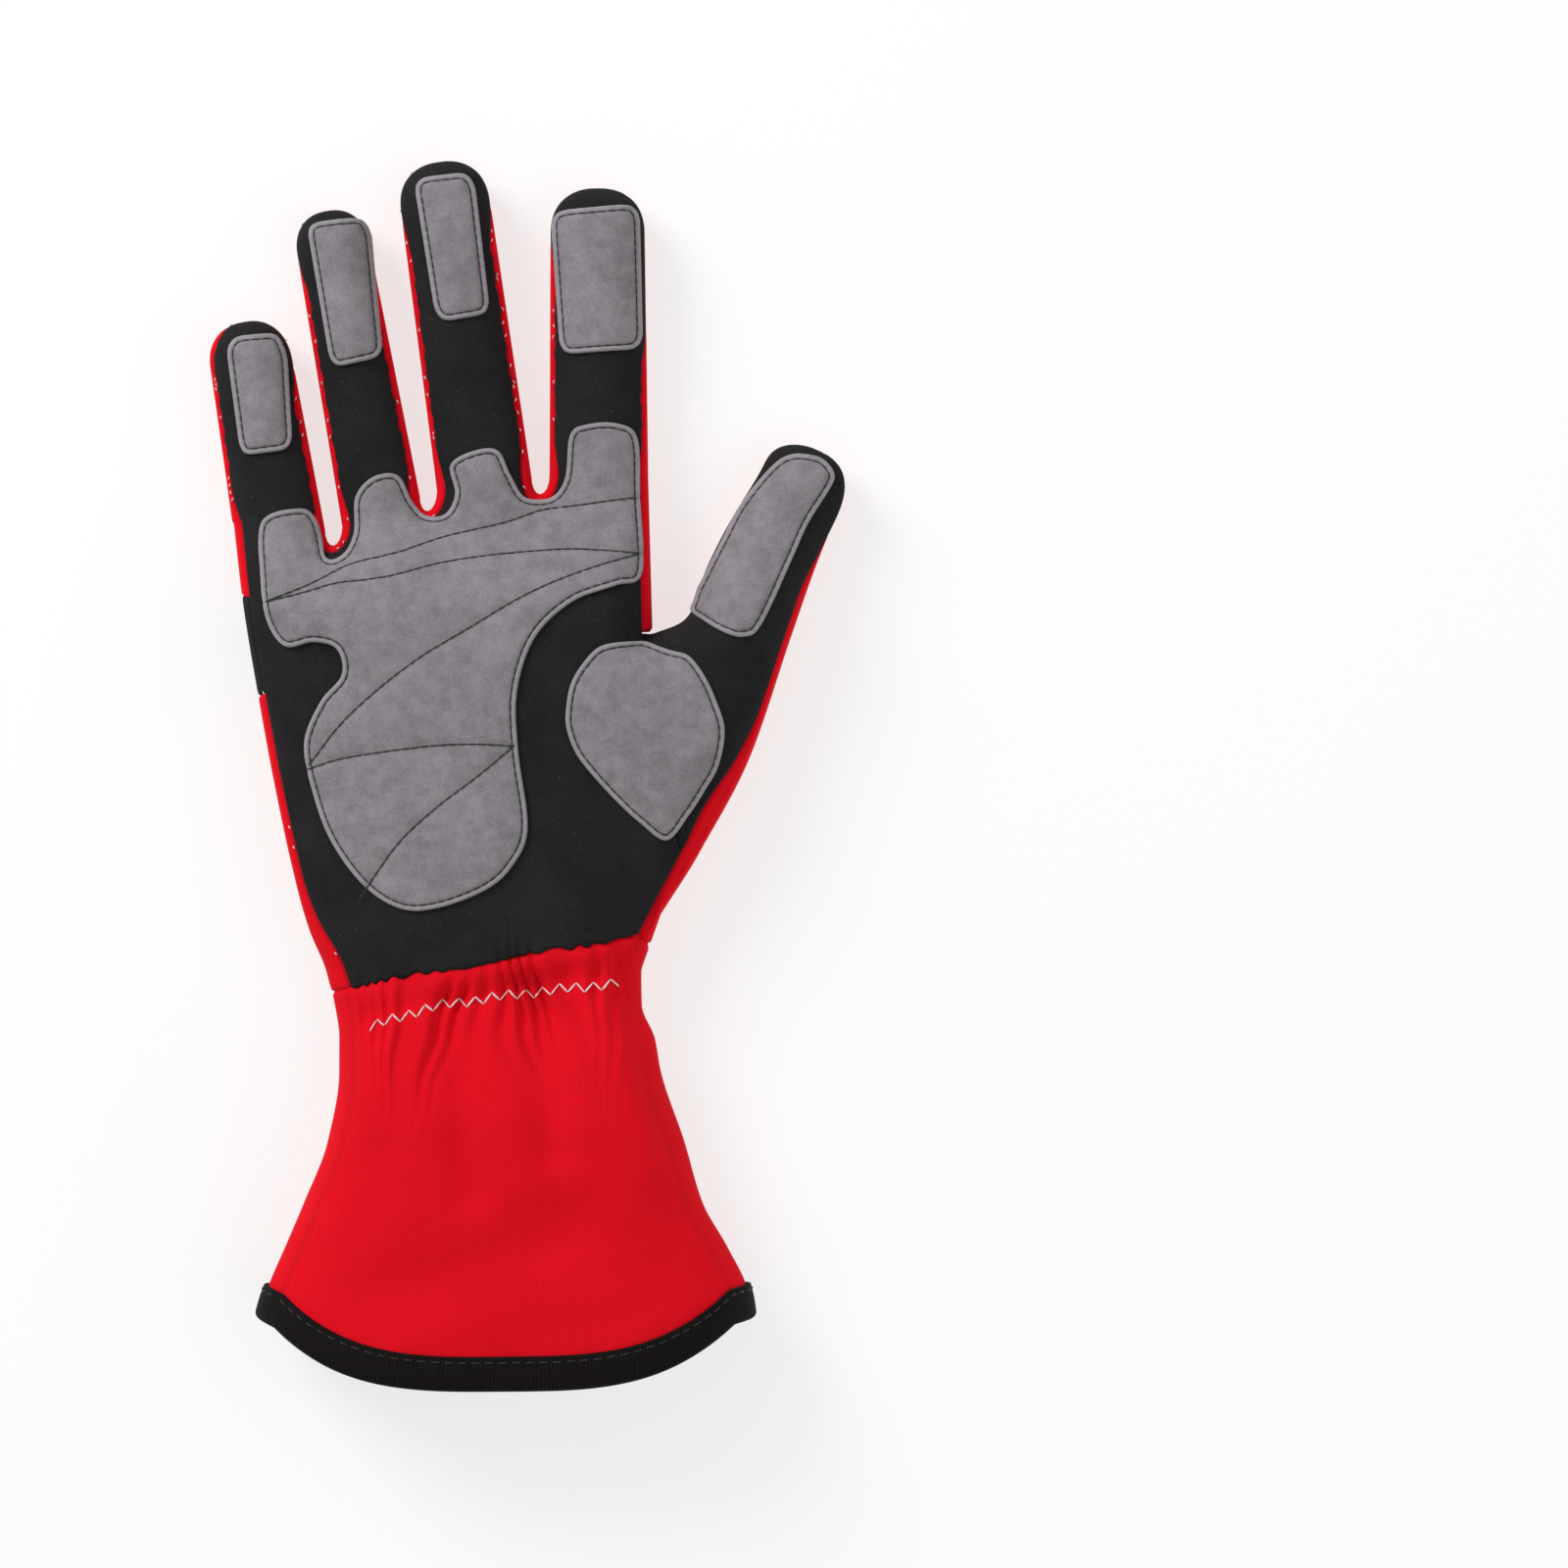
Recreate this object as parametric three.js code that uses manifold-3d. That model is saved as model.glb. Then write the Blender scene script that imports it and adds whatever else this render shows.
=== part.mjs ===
// A right-hand racing glove with a flared gauntlet cuff, lying on its back with the palm up.
// Fingers point along +Y, the thumb points towards +X, and the back of the hand rests on z = 0. Millimetres.
//
// The whole glove is one hollow skin over a flat outline. Every panel, patch and strap takes its place from that
// skin: a point of the outline's plane, a side (palm or back) and a lift above the cloth.
import * as THREE from "three";
import { mergeVertices } from "three/addons/utils/BufferGeometryUtils.js";
import Module from "manifold-3d";

const wasm = await Module();
wasm.setup();

// Lengths along the glove
const FINGER_LENGTH = 82; // middle finger, from its root to its tip
const HAND_LENGTH = 121; // wrist seam to the finger roots
const CUFF_LENGTH = 84; // wrist seam to the hem's corners
const THUMB_LENGTH = 61; // thumb crotch to thumb tip
const HEM_SAG = 15.5; // how far the middle of the hem hangs below its corners

// Widths across the glove
const PALM_WIDTH = 106.5;
const WRIST_WIDTH = 77;
const HEM_WIDTH = 125.5;
const THUMB_WIDTH = 24.5;
const NOTCH_WIDTH = 4.6; // between neighbouring fingers at their roots
const NOTCH_DEPTH = 4.5;

// Depths from the back of the glove to its palm
const FINGER_DEPTH = 17;
const PALM_DEPTH = 26;
const WRIST_DEPTH = 27;
const HEM_DEPTH = 35;
const PALM_CROWN = 3.2; // extra swell over the middle of the palm

// Cloth, suede and webbing
const CLOTH = 1.6;
const SUEDE = 1.1;
const GAP = 0.3; // between pieces that lie on or against each other
const PALM_SEAM = 2.1; // palm seam, in from the outline
const BACK_SEAM = 2.6; // fourchette seam on the back of the fingers, in from the outline
const BACK_TURN = 60; // degrees round the edge where the flat of the back begins
const BINDING_WIDTH = 7.4;
const BINDING_CLOTH = 0.8;
const GATHER_DEPTH = 0.9; // half the height of the ruffles along the wrist elastic
const GATHER_PITCH = 6.6;
const TAB_CLOTH = 1.1;
const TAB_WIDTH = 20;
const TAB_OVERLAP = 9; // length of the tab that lies under the strap
const STRAP_CLOTH = 1.4;
const STRAP_WIDTH = 31;
const STRAP_LENGTH = 62;
const PILE = 0.9; // fastener pile sewn on the strap
const PILE_MARGIN = 3;

// Mesh fineness, in steps
const FINGER_COLUMNS = 4;
const FINGER_ROWS = 4;
const TIP_ROWS = 3;
const NOTCH_COLUMNS = 3;
const RIM_ROWS = 4;
const SEAM_ROWS = 5; // along the seam between palm and thumb
const INDEX_SIDE_ROWS = 2; // index finger's root to the crotch
const SIDE_ROWS = 2 + SEAM_ROWS; // along the seam between the hand's back and the thumb
const HAND_ROWS = SIDE_ROWS + INDEX_SIDE_ROWS;
const CUFF_COLUMNS = 32;
const CUFF_ROWS = 6;
const BAND_COLUMNS = 9;
const BAND_ROWS = 4;
const OUTLINE_STEPS = 1.5; // for each point of a patch's table

const RADIANS = Math.PI / 180;
const mix = (a, b, t) => a + (b - a) * t;
const clamp01 = (t) => Math.min(Math.max(t, 0), 1);
const smooth = (t) => clamp01(t) ** 2 * (3 - 2 * clamp01(t));
const steps = (n, from = 0, to = 1) => Array.from({ length: n + 1 }, (_, i) => mix(from, to, i / n));
const between = (a, b, t) => ({ x: mix(a.x, b.x, t), y: mix(a.y, b.y, t) });
const apart = (a, b) => Math.hypot(b.x - a.x, b.y - a.y);
const moved = (p, x, y = 0) => ({ ...p, x: p.x + x, y: p.y + y });

// Smooth curve through one column of a table, at the place `at`. It never swings past its neighbours, and runs on
// straight beyond the table's ends.
function follow(rows, column, at) {
  const last = rows.length - 1;
  const rise = (k) => (rows[k + 1][column] - rows[k][column]) / (rows[k + 1].at - rows[k].at);
  if (at <= rows[0].at) return rows[0][column] + rise(0) * (at - rows[0].at);
  if (at >= rows[last].at) return rows[last][column] + rise(last - 1) * (at - rows[last].at);
  let i = 0;
  while (at > rows[i + 1].at) i++;
  const slope = (k) => {
    if (k === 0) return rise(0);
    if (k === last) return rise(last - 1);
    const [a, b] = [rise(k - 1), rise(k)];
    return a * b <= 0 ? 0 : (2 * a * b) / (a + b);
  };
  const span = rows[i + 1].at - rows[i].at;
  const t = (at - rows[i].at) / span;
  const [t2, t3] = [t * t, t * t * t];
  return (
    mix(rows[i][column], rows[i + 1][column], 3 * t2 - 2 * t3) +
    span * (slope(i) * (t3 - 2 * t2 + t) + slope(i + 1) * (t3 - t2))
  );
}

// Sides of the hand and cuff. at: -1 hem, 0 wrist seam, 1 finger roots. left and right: shares of `of`, from the
// line x = 0.
const SIDES = [
  { at: -1.25, of: HEM_WIDTH, left: -0.627, right: 0.502 },
  { at: -1.0, of: HEM_WIDTH, left: -0.541, right: 0.459 },
  { at: -0.93, of: HEM_WIDTH, left: -0.526, right: 0.45 },
  { at: -0.8, of: HEM_WIDTH, left: -0.489, right: 0.408 },
  { at: -0.67, of: HEM_WIDTH, left: -0.452, right: 0.359 },
  { at: -0.48, of: HEM_WIDTH, left: -0.403, right: 0.321 },
  { at: -0.27, of: WRIST_WIDTH, left: -0.62, right: 0.446 },
  { at: -0.17, of: WRIST_WIDTH, left: -0.62, right: 0.426 },
  { at: -0.07, of: WRIST_WIDTH, left: -0.635, right: 0.383 },
  { at: 0.02, of: WRIST_WIDTH, left: -0.662, right: 0.381 },
  { at: 0.11, of: PALM_WIDTH, left: -0.52, right: 0.303 },
  { at: 0.17, of: PALM_WIDTH, left: -0.541, right: 0.338 },
  { at: 0.41, of: PALM_WIDTH, left: -0.603, right: 0.62 },
  { at: 0.6, of: PALM_WIDTH, left: -0.643, right: 0.8 },
  { at: 0.8, of: PALM_WIDTH, left: -0.681, right: 1.0 },
  { at: 1.0, of: PALM_WIDTH, left: -0.709, right: 1.0 },
].map((row) => ({ at: row.at, left: row.left * row.of, right: row.right * row.of }));

const WRIST_Y = -0.445 * HAND_LENGTH;
const KNUCKLE_Y = WRIST_Y + HAND_LENGTH;
const heightOf = (at) => WRIST_Y + at * (at < 0 ? CUFF_LENGTH : HAND_LENGTH);
function levelOf(y) {
  if (y < WRIST_Y) return (y - WRIST_Y) / CUFF_LENGTH;
  if (y < KNUCKLE_Y) return (y - WRIST_Y) / HAND_LENGTH;
  return 1 + (y - KNUCKLE_Y) / FINGER_LENGTH;
}

// Cross-sections. rim: height of the outline, roundTop and roundBase: how far in the edges stay round, all as
// shares of the depth. clear: room kept under the flat of the back, as a share of the strap's stack.
const STACK = 3 * GAP + TAB_CLOTH + STRAP_CLOTH + PILE;
const SECTIONS = [
  { at: -1.0, depth: HEM_DEPTH, rim: 0.46, roundTop: 0.9, roundBase: 0.5, clear: 0.3 },
  { at: -0.45, depth: HEM_DEPTH, rim: 0.42, roundTop: 0.72, roundBase: 0.45, clear: 0.3 },
  { at: 0.0, depth: WRIST_DEPTH, rim: 0.52, roundTop: 0.68, roundBase: 0.48, clear: 0.9 },
  { at: 0.08, depth: WRIST_DEPTH, rim: 0.52, roundTop: 0.66, roundBase: 0.48, clear: 1.05 },
  { at: 0.27, depth: WRIST_DEPTH, rim: 0.5, roundTop: 0.6, roundBase: 0.46, clear: 1.05 },
  { at: 0.42, depth: PALM_DEPTH, rim: 0.48, roundTop: 0.54, roundBase: 0.45, clear: 0.75 },
  { at: 0.58, depth: PALM_DEPTH, rim: 0.47, roundTop: 0.5, roundBase: 0.42, clear: 0 },
  { at: 0.78, depth: PALM_DEPTH, rim: 0.44, roundTop: 0.48, roundBase: 0.4, clear: 0 },
  { at: 1.0, depth: FINGER_DEPTH, rim: 0.56, roundTop: 0.66, roundBase: 0.55, clear: 0 },
  { at: 1.3, depth: FINGER_DEPTH, rim: 0.48, roundTop: 0.59, roundBase: 0.52, clear: 0 },
  { at: 1.7, depth: FINGER_DEPTH, rim: 0.46, roundTop: 0.57, roundBase: 0.5, clear: 0 },
  { at: 2.1, depth: FINGER_DEPTH, rim: 0.43, roundTop: 0.53, roundBase: 0.47, clear: 0 },
].map((row) => ({
  at: row.at,
  depth: row.depth,
  rim: row.rim * row.depth,
  roundTop: row.roundTop * row.depth,
  roundBase: row.roundBase * row.depth,
  clear: row.clear * STACK,
}));
const PALM = 1;
const BACK = -1;
const roundAt = (y, side) => follow(SECTIONS, side === PALM ? "roundTop" : "roundBase", levelOf(y));

// The finger roots lie between these knuckle points. across: share of the palm's width, up: of the hand's length.
const KNUCKLES = [
  { across: 0.0, up: -0.025 },
  { across: 0.245, up: -0.045 },
  { across: 0.471, up: 0.035 },
  { across: 0.741, up: 0.07 },
  { across: 1.0, up: 0.07 },
].map((row) => ({
  x: SIDES.at(-1).left + row.across * PALM_WIDTH,
  y: KNUCKLE_Y + row.up * HAND_LENGTH,
}));

// Fingers. reach: share of the middle finger's length, lean: degrees towards the thumb, slim: width of the tip as
// a share of the root's.
const FINGERS = [
  { name: "pinky", reach: 0.645, lean: -9.7, slim: 0.86 },
  { name: "ring", reach: 0.955, lean: -10.4, slim: 0.86 },
  { name: "middle", reach: 1.018, lean: -8.0, slim: 0.93 },
  { name: "index", reach: 0.9, lean: -0.3, slim: 0.95 },
].map((row, i, all) => {
  const [a, b] = [KNUCKLES[i], KNUCKLES[i + 1]];
  const half = NOTCH_WIDTH / 2 / apart(a, b);
  const left = between(a, b, i > 0 ? half : 0);
  const right = between(a, b, i < all.length - 1 ? 1 - half : 1);
  const root = between(left, right, 0.5);
  const width = apart(left, right);
  const lean = row.lean * RADIANS;
  const length = row.reach * FINGER_LENGTH;
  const tip = (row.slim * width) / 2;
  return {
    name: row.name,
    length,
    round: (0.46 * width) / length,
    stations: [
      { at: 0, x: root.x, y: root.y, hx: (right.x - left.x) / 2, hy: (right.y - left.y) / 2 },
      {
        at: 1,
        x: root.x + length * Math.sin(lean),
        y: root.y + length * Math.cos(lean),
        hx: tip * Math.cos(lean),
        hy: -tip * Math.sin(lean),
      },
    ],
  };
});
const PINKY = FINGERS[0];
const INDEX = FINGERS.at(-1);

// Thumb, in a frame at its crotch that leans with it. up and rise: shares of its length, out and spread: shares of
// its width. (up, out) is the middle line and (rise, spread) half the width as a vector.
const CROTCH_DROP = 0.335 * HAND_LENGTH;
const CROTCH = { x: KNUCKLES.at(-1).x + 0.011 * PALM_WIDTH, y: KNUCKLES.at(-1).y - CROTCH_DROP };
const THUMB_LEAN = 26 * RADIANS;
const thumbVector = (up, out) => ({
  x: up * THUMB_LENGTH * Math.sin(THUMB_LEAN) + out * THUMB_WIDTH * Math.cos(THUMB_LEAN),
  y: up * THUMB_LENGTH * Math.cos(THUMB_LEAN) - out * THUMB_WIDTH * Math.sin(THUMB_LEAN),
});
const THUMB = {
  name: "thumb",
  length: 1.5 * THUMB_LENGTH,
  round: 0.15,
  stations: [
    { at: 0.0, up: -0.52, out: 0.68, rise: -0.52, spread: 0.68 },
    { at: 0.16, up: -0.31, out: 0.84, rise: -0.43, spread: 0.6 },
    { at: 0.38, up: 0.02, out: 0.84, rise: -0.33, spread: 0.64 },
    { at: 0.62, up: 0.42, out: 0.76, rise: -0.17, spread: 0.55 },
    { at: 0.82, up: 0.74, out: 0.73, rise: -0.07, spread: 0.47 },
    { at: 1.0, up: 1.0, out: 0.74, rise: 0.0, spread: 0.5 },
  ].map((row) => {
    const middle = thumbVector(row.up, row.out);
    const half = thumbVector(row.rise, row.spread);
    return { at: row.at, x: CROTCH.x + middle.x, y: CROTCH.y + middle.y, hx: half.x, hy: half.y };
  }),
};

// Point on a digit's edge at the share t of its length, moved in by `inset`; hand -1 is its left edge, 1 its right.
function digitEdge(digit, t, hand, inset) {
  const at = t * (1 - inset / digit.length);
  const [x, y, hx, hy] = ["x", "y", "hx", "hy"].map((column) => follow(digit.stations, column, at));
  const half = Math.hypot(hx, hy);
  const cap = (1 - clamp01((t - 1 + digit.round) / digit.round) ** 2.3) ** (1 / 2.3);
  const reach = (hand * Math.max(half - inset, 0) * cap) / half;
  return { x: x + hx * reach, y: y + hy * reach };
}

// Round bottom of the notch between finger i and the next one, from left to right.
function notchPoint(i, t, inset) {
  const a = digitEdge(FINGERS[i], 0, 1, inset);
  const b = digitEdge(FINGERS[i + 1], 0, -1, inset);
  const p = between(a, b, (1 - Math.cos(t * Math.PI)) / 2);
  return moved(p, 0, -(NOTCH_DEPTH + inset) * Math.sin(t * Math.PI));
}

// Point on the hand's left or right outline at the level `at`, moved in at right angles to it.
function sidePoint(column, at, inset) {
  const step = 0.01;
  const here = { x: follow(SIDES, column, at), y: heightOf(at) };
  const ahead = { x: follow(SIDES, column, at + step), y: heightOf(at + step) };
  const turn = ((column === "left" ? 1 : -1) * inset) / apart(here, ahead);
  return moved(here, turn * (ahead.y - here.y), -turn * (ahead.x - here.x));
}
const leftPoint = (at, inset) => sidePoint("left", at, inset);

// Right outline from the wrist up to the thumb's root; its last stretch is straight.
const THUMB_ROOT = levelOf(digitEdge(THUMB, 0, 1, 0).y);
const ROOT_STRETCH = 14; // length of the straight stretch
const STRETCH_START = THUMB_ROOT - ROOT_STRETCH / HAND_LENGTH;
function rightPoint(at, inset) {
  if (at <= STRETCH_START) return sidePoint("right", at, inset);
  const share = (at - STRETCH_START) / (THUMB_ROOT - STRETCH_START);
  return between(sidePoint("right", STRETCH_START, inset), digitEdge(THUMB, 0, 1, inset), share);
}

// Index finger's outer root (t = 0) down to the thumb crotch (t = 1).
const indexSide = (t, inset) => moved(between(digitEdge(INDEX, 0, 1, 0), CROTCH, t), -inset);

// The outline, clockwise from the hem's left corner round every digit to its right corner.
const ROOT_LEVEL = levelOf(KNUCKLES[0].y);
const digitRun = (digit, hand) => steps(44).map((t) => digitEdge(digit, 1 - (1 - t) ** 1.6, hand, 0));
const OUTLINE = [
  ...steps(80, -1.25, ROOT_LEVEL).map((at) => leftPoint(at, 0)),
  ...FINGERS.flatMap((finger, i) => [
    ...digitRun(finger, -1),
    ...digitRun(finger, 1).reverse(),
    ...(finger === INDEX ? [] : steps(12).map((t) => notchPoint(i, t, 0))),
  ]),
  ...steps(12).map((t) => indexSide(t, 0)),
  ...digitRun(THUMB, -1),
  ...digitRun(THUMB, 1).reverse(),
  ...steps(60, THUMB_ROOT, -1.25).map((at) => rightPoint(at, 0)),
].filter((p, i, all) => i === 0 || apart(p, all[i - 1]) > 1e-3);

// Distance in from the outline, and the direction inwards, which close to the outline is its own normal.
const CLOSE = 0.3;
function nearest(p) {
  let best = { inset: Infinity };
  for (let i = 1; i < OUTLINE.length; i++) {
    const [a, b] = [OUTLINE[i - 1], OUTLINE[i]];
    const [ex, ey] = [b.x - a.x, b.y - a.y];
    const t = clamp01(((p.x - a.x) * ex + (p.y - a.y) * ey) / (ex * ex + ey * ey));
    const inset = Math.hypot(a.x + t * ex - p.x, a.y + t * ey - p.y);
    if (inset >= best.inset) continue;
    const length = inset < CLOSE ? apart(a, b) : inset;
    const [x, y] = inset < CLOSE ? [ey, -ex] : [p.x - a.x - t * ex, p.y - a.y - t * ey];
    best = { inset, x: x / length, y: y / length };
  }
  return best;
}

// The black palm's heel edge runs between these two places, and the wrist elastic lies below it.
const ELASTIC_DROP = 7.5;
const HEEL_LEFT = { at: -0.03, inset: 5.2 };
const HEEL_DROP = 7.5; // from the thumb's root down to the palm heel's right corner
const HEEL_RIGHT = { at: THUMB_ROOT - HEEL_DROP / HAND_LENGTH, inset: 4.6 };
const heelLeft = leftPoint(HEEL_LEFT.at, HEEL_LEFT.inset);
const heelRight = rightPoint(HEEL_RIGHT.at, HEEL_RIGHT.inset);

// Soft folds of the cuff's palm side, each from one place to another: x as shares of the hem's width, y as shares
// of the cuff's length below the wrist, width and height as shares of the hem's depth.
const FOLDS = [
  { x0: -0.14, y0: 0.1, x1: -0.1, y1: 0.62, width: 0.17, height: -0.045 },
  { x0: 0.02, y0: 0.08, x1: 0.06, y1: 0.5, width: 0.14, height: -0.04 },
  { x0: -0.27, y0: 0.12, x1: -0.4, y1: 0.7, width: 0.2, height: 0.04 },
  { x0: 0.17, y0: 0.1, x1: 0.27, y1: 0.55, width: 0.15, height: 0.035 },
  { x0: -0.3, y0: 0.95, x1: 0.1, y1: 0.72, width: 0.28, height: -0.04 },
];

// Height of the gathers and folds above the smooth palm side.
function relief(p) {
  const t = (p.x - heelLeft.x) / (heelRight.x - heelLeft.x);
  const off = p.y - mix(heelLeft.y, heelRight.y, t) + ELASTIC_DROP;
  const reach = (off > 0 ? 0.8 : 2.6) * ELASTIC_DROP;
  const inside = smooth((t + 0.02) / 0.1) * smooth((1.02 - t) / 0.1);
  const ruffle = Math.cos((2 * Math.PI * p.x) / GATHER_PITCH) * Math.exp(-((off / reach) ** 2));
  const pinch = -1.6 * Math.exp(-((off / (0.6 * ELASTIC_DROP)) ** 2));
  return FOLDS.reduce((sum, fold) => {
    const a = { x: fold.x0 * HEM_WIDTH, y: WRIST_Y - fold.y0 * CUFF_LENGTH };
    const b = { x: fold.x1 * HEM_WIDTH, y: WRIST_Y - fold.y1 * CUFF_LENGTH };
    const run = ((p.x - a.x) * (b.x - a.x) + (p.y - a.y) * (b.y - a.y)) / apart(a, b) ** 2;
    const away = apart(p, between(a, b, clamp01(run))) / (fold.width * HEM_DEPTH);
    return sum + fold.height * HEM_DEPTH * Math.exp(-away * away);
  }, GATHER_DEPTH * (ruffle + pinch) * inside);
}

// The skin's outer face over a plane point on one side, with its outward normal. A point on a seam carries its
// own inset and side.
function skin(p, side) {
  const near = nearest(p);
  const inset = p.inset ?? near.inset;
  const at = levelOf(p.y);
  const rim = follow(SECTIONS, "rim", at);
  const height = side === PALM ? follow(SECTIONS, "depth", at) - rim : rim - follow(SECTIONS, "clear", at);
  const round = roundAt(p.y, side);
  const q = Math.min(inset / round, 1);
  const rise = Math.sqrt(1 - (1 - q) ** 2);
  const crown = PALM_CROWN * (1 - Math.exp(-((inset / (0.25 * PALM_WIDTH)) ** 2)));
  const swell = side === PALM ? crown + rise * relief(p) : 0;
  const lean = (1 - q) / round;
  return {
    place: new THREE.Vector3(p.x, p.y, rim + side * height * rise + swell),
    normal: new THREE.Vector3(-near.x * lean, -near.y * lean, (side * rise) / height).normalize(),
  };
}

// Seams follow the outline's edge. An edge curve gives the plane point for an inset; a turn is the angle round the
// edge, positive on the palm side; a shift moves along the skin by a length.
const HALF_GAP = 0.6 * GAP;
const turnOf = (curve, side, inset) => side * Math.acos(1 - inset / roundAt(curve(0).y, side));
const shifted = (curve, turn, shift) => turn + shift / roundAt(curve(0).y, turn < 0 ? BACK : PALM);
function rimPoint(curve, turn) {
  const side = turn < 0 ? BACK : PALM;
  const inset = roundAt(curve(0).y, side) * (1 - Math.cos(turn));
  return { ...curve(inset), inset, side };
}

// A place on the edge is a curve with a fade, 0 along the glove to 1 round a fingertip, where all seams are on the
// very edge, and with the inset of its palm seam.
const placeOf = (curve, wrap = PALM_SEAM) => ({ curve, fade: 0, wrap });
const digitPlace = (digit, t, hand, wrap = PALM_SEAM) => ({
  curve: (inset) => digitEdge(digit, t, hand, inset),
  fade: smooth((t - 1 + 2 * digit.round) / digit.round),
  wrap,
});
const seamTurn = ({ curve, fade }, side, inset, shift) =>
  shifted(curve, turnOf(curve, side, inset) * (1 - fade), shift);
const palmTurn = (place, shift) => seamTurn(place, PALM, place.wrap, shift);
const backTurn = (place, shift) => seamTurn(place, BACK, BACK_SEAM, shift);
const flatTurn = ({ curve, fade }) => shifted(curve, -BACK_TURN * RADIANS * (1 - fade), -HALF_GAP * fade);
const palmSeam = (place, shift) => rimPoint(place.curve, palmTurn(place, shift));
const backSeam = (place) => rimPoint(place.curve, backTurn(place, -HALF_GAP));
const backFlat = (place) => rimPoint(place.curve, flatTurn(place));
const edgeSeam = (place, shift) => rimPoint(place.curve, shifted(place.curve, 0, shift));

// Rows round the edge along a run of places, from each place's first turn to its last.
const strip = (places, first, last) =>
  steps(RIM_ROWS).map((s) => places.map((place) => rimPoint(place.curve, mix(first(place), last(place), s))));
const wrapStrip = (places) => strip(places, (place) => palmTurn(place, -HALF_GAP), flatTurn);

// Points of a row from a to b, evenly spaced or closer together near its ends.
function spread(a, b, columns, share) {
  if (apart(a, b) < 1e-6) return Array(columns + 1).fill(a);
  return [a, ...steps(columns).slice(1, -1).map((s) => between(a, b, share(s))), b];
}
const evenly = (a, b, columns) => spread(a, b, columns, (s) => s);
const across = (a, b, columns) => spread(a, b, columns, (s) => (1 - Math.cos(s * Math.PI)) / 2);

// Grid of plane points between four boundary rows (a Coons patch). bottom and top run left to right, left and
// right run upwards.
function coons(bottom, top, left, right) {
  const shares = (row) => {
    const sums = [0];
    for (let i = 1; i < row.length; i++) sums.push(sums[i - 1] + apart(row[i - 1], row[i]));
    return sums.map((sum) => sum / sums.at(-1));
  };
  const [ub, ut, vl, vr] = [bottom, top, left, right].map(shares);
  const [columns, rows] = [bottom.length - 1, left.length - 1];
  return left.map((_, j) => {
    if (j === 0) return bottom;
    if (j === rows) return top;
    return bottom.map((_, i) => {
      if (i === 0) return left[j];
      if (i === columns) return right[j];
      const u = mix(ub[i], ut[i], j / rows);
      const v = mix(vl[j], vr[j], u);
      const blend = (k) =>
        mix(bottom[i][k], top[i][k], v) + mix(left[j][k], right[j][k], u) -
        mix(mix(bottom[0][k], bottom.at(-1)[k], u), mix(top[0][k], top.at(-1)[k], u), v);
      return { x: blend("x"), y: blend("y") };
    });
  });
}

// Shares of a digit's length: even steps, then finer ones round the tip.
const digitSteps = (digit) => [
  ...steps(FINGER_ROWS, 0, 1 - digit.round),
  ...steps(TIP_ROWS).slice(1).map((t) => 1 - digit.round * (1 - Math.sin((t * Math.PI) / 2))),
];
const digitPlaces = (digit, hand) => digitSteps(digit).map((t) => digitPlace(digit, t, hand));

// Edge places of the glove, each run from the wrist or a root towards a tip
const leftPlaces = steps(HAND_ROWS).map((s) => {
  const at = mix(HEEL_LEFT.at, ROOT_LEVEL, s);
  const wrap = mix(HEEL_LEFT.inset, PALM_SEAM, smooth(s / 0.25));
  return s < 1 ? placeOf((inset) => leftPoint(at, inset), wrap) : digitPlace(PINKY, 0, -1);
});
const indexPlaces = steps(INDEX_SIDE_ROWS, 0, 1 - (2 * GAP) / CROTCH_DROP).map((t) =>
  t === 0 ? digitPlace(INDEX, 0, 1) : placeOf((inset) => indexSide(t, inset)),
);

// How far the thumb's red outer side reaches on to the palm side, along the thumb.
const WRAP = [
  { at: 0.0, inset: 0.302 * THUMB_WIDTH },
  { at: 0.2, inset: 0.237 * THUMB_WIDTH },
  { at: 0.45, inset: 0.11 * THUMB_WIDTH },
  { at: 0.75, inset: 0.0775 * THUMB_WIDTH },
  { at: 1.0, inset: 0.0775 * THUMB_WIDTH },
];
const WRAP_START = 0.1; // where palm, thumb and outer side meet
const outerPlace = (t) => digitPlace(THUMB, t, 1, follow(WRAP, "inset", t));
const thumbSteps = digitSteps(THUMB).slice(1);
const outerPlaces = [
  placeOf((inset) => rightPoint(HEEL_RIGHT.at, inset), HEEL_RIGHT.inset),
  ...[0, WRAP_START, ...thumbSteps].map(outerPlace),
];
const innerPlaces = [0, 0.04, 0.08, ...thumbSteps].map((t) => digitPlace(THUMB, t, -1));

// Seam between the palm and the thumb's front, from the crotch to where the outer side begins
const wrapCorner = palmSeam(outerPlaces[2], HALF_GAP);
const thumbSeam = (shift) =>
  steps(SEAM_ROWS).map((t) => {
    if (t === 1) return moved(wrapCorner, shift);
    const bow = -0.03 * THUMB_LENGTH * Math.sin(t * Math.PI);
    return moved(between(moved(CROTCH, -PALM_SEAM), wrapCorner, t), shift + bow);
  });

// Seam on the back between the hand and the thumb, from the crotch to the wrist
const sideSeamEnd = backFlat(outerPlaces[0]);
const sideSeamTop = { x: backFlat(indexPlaces.at(-1)).x + GAP, y: CROTCH.y };
const sideSeam = (t) => between(sideSeamTop, sideSeamEnd, t);

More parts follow.
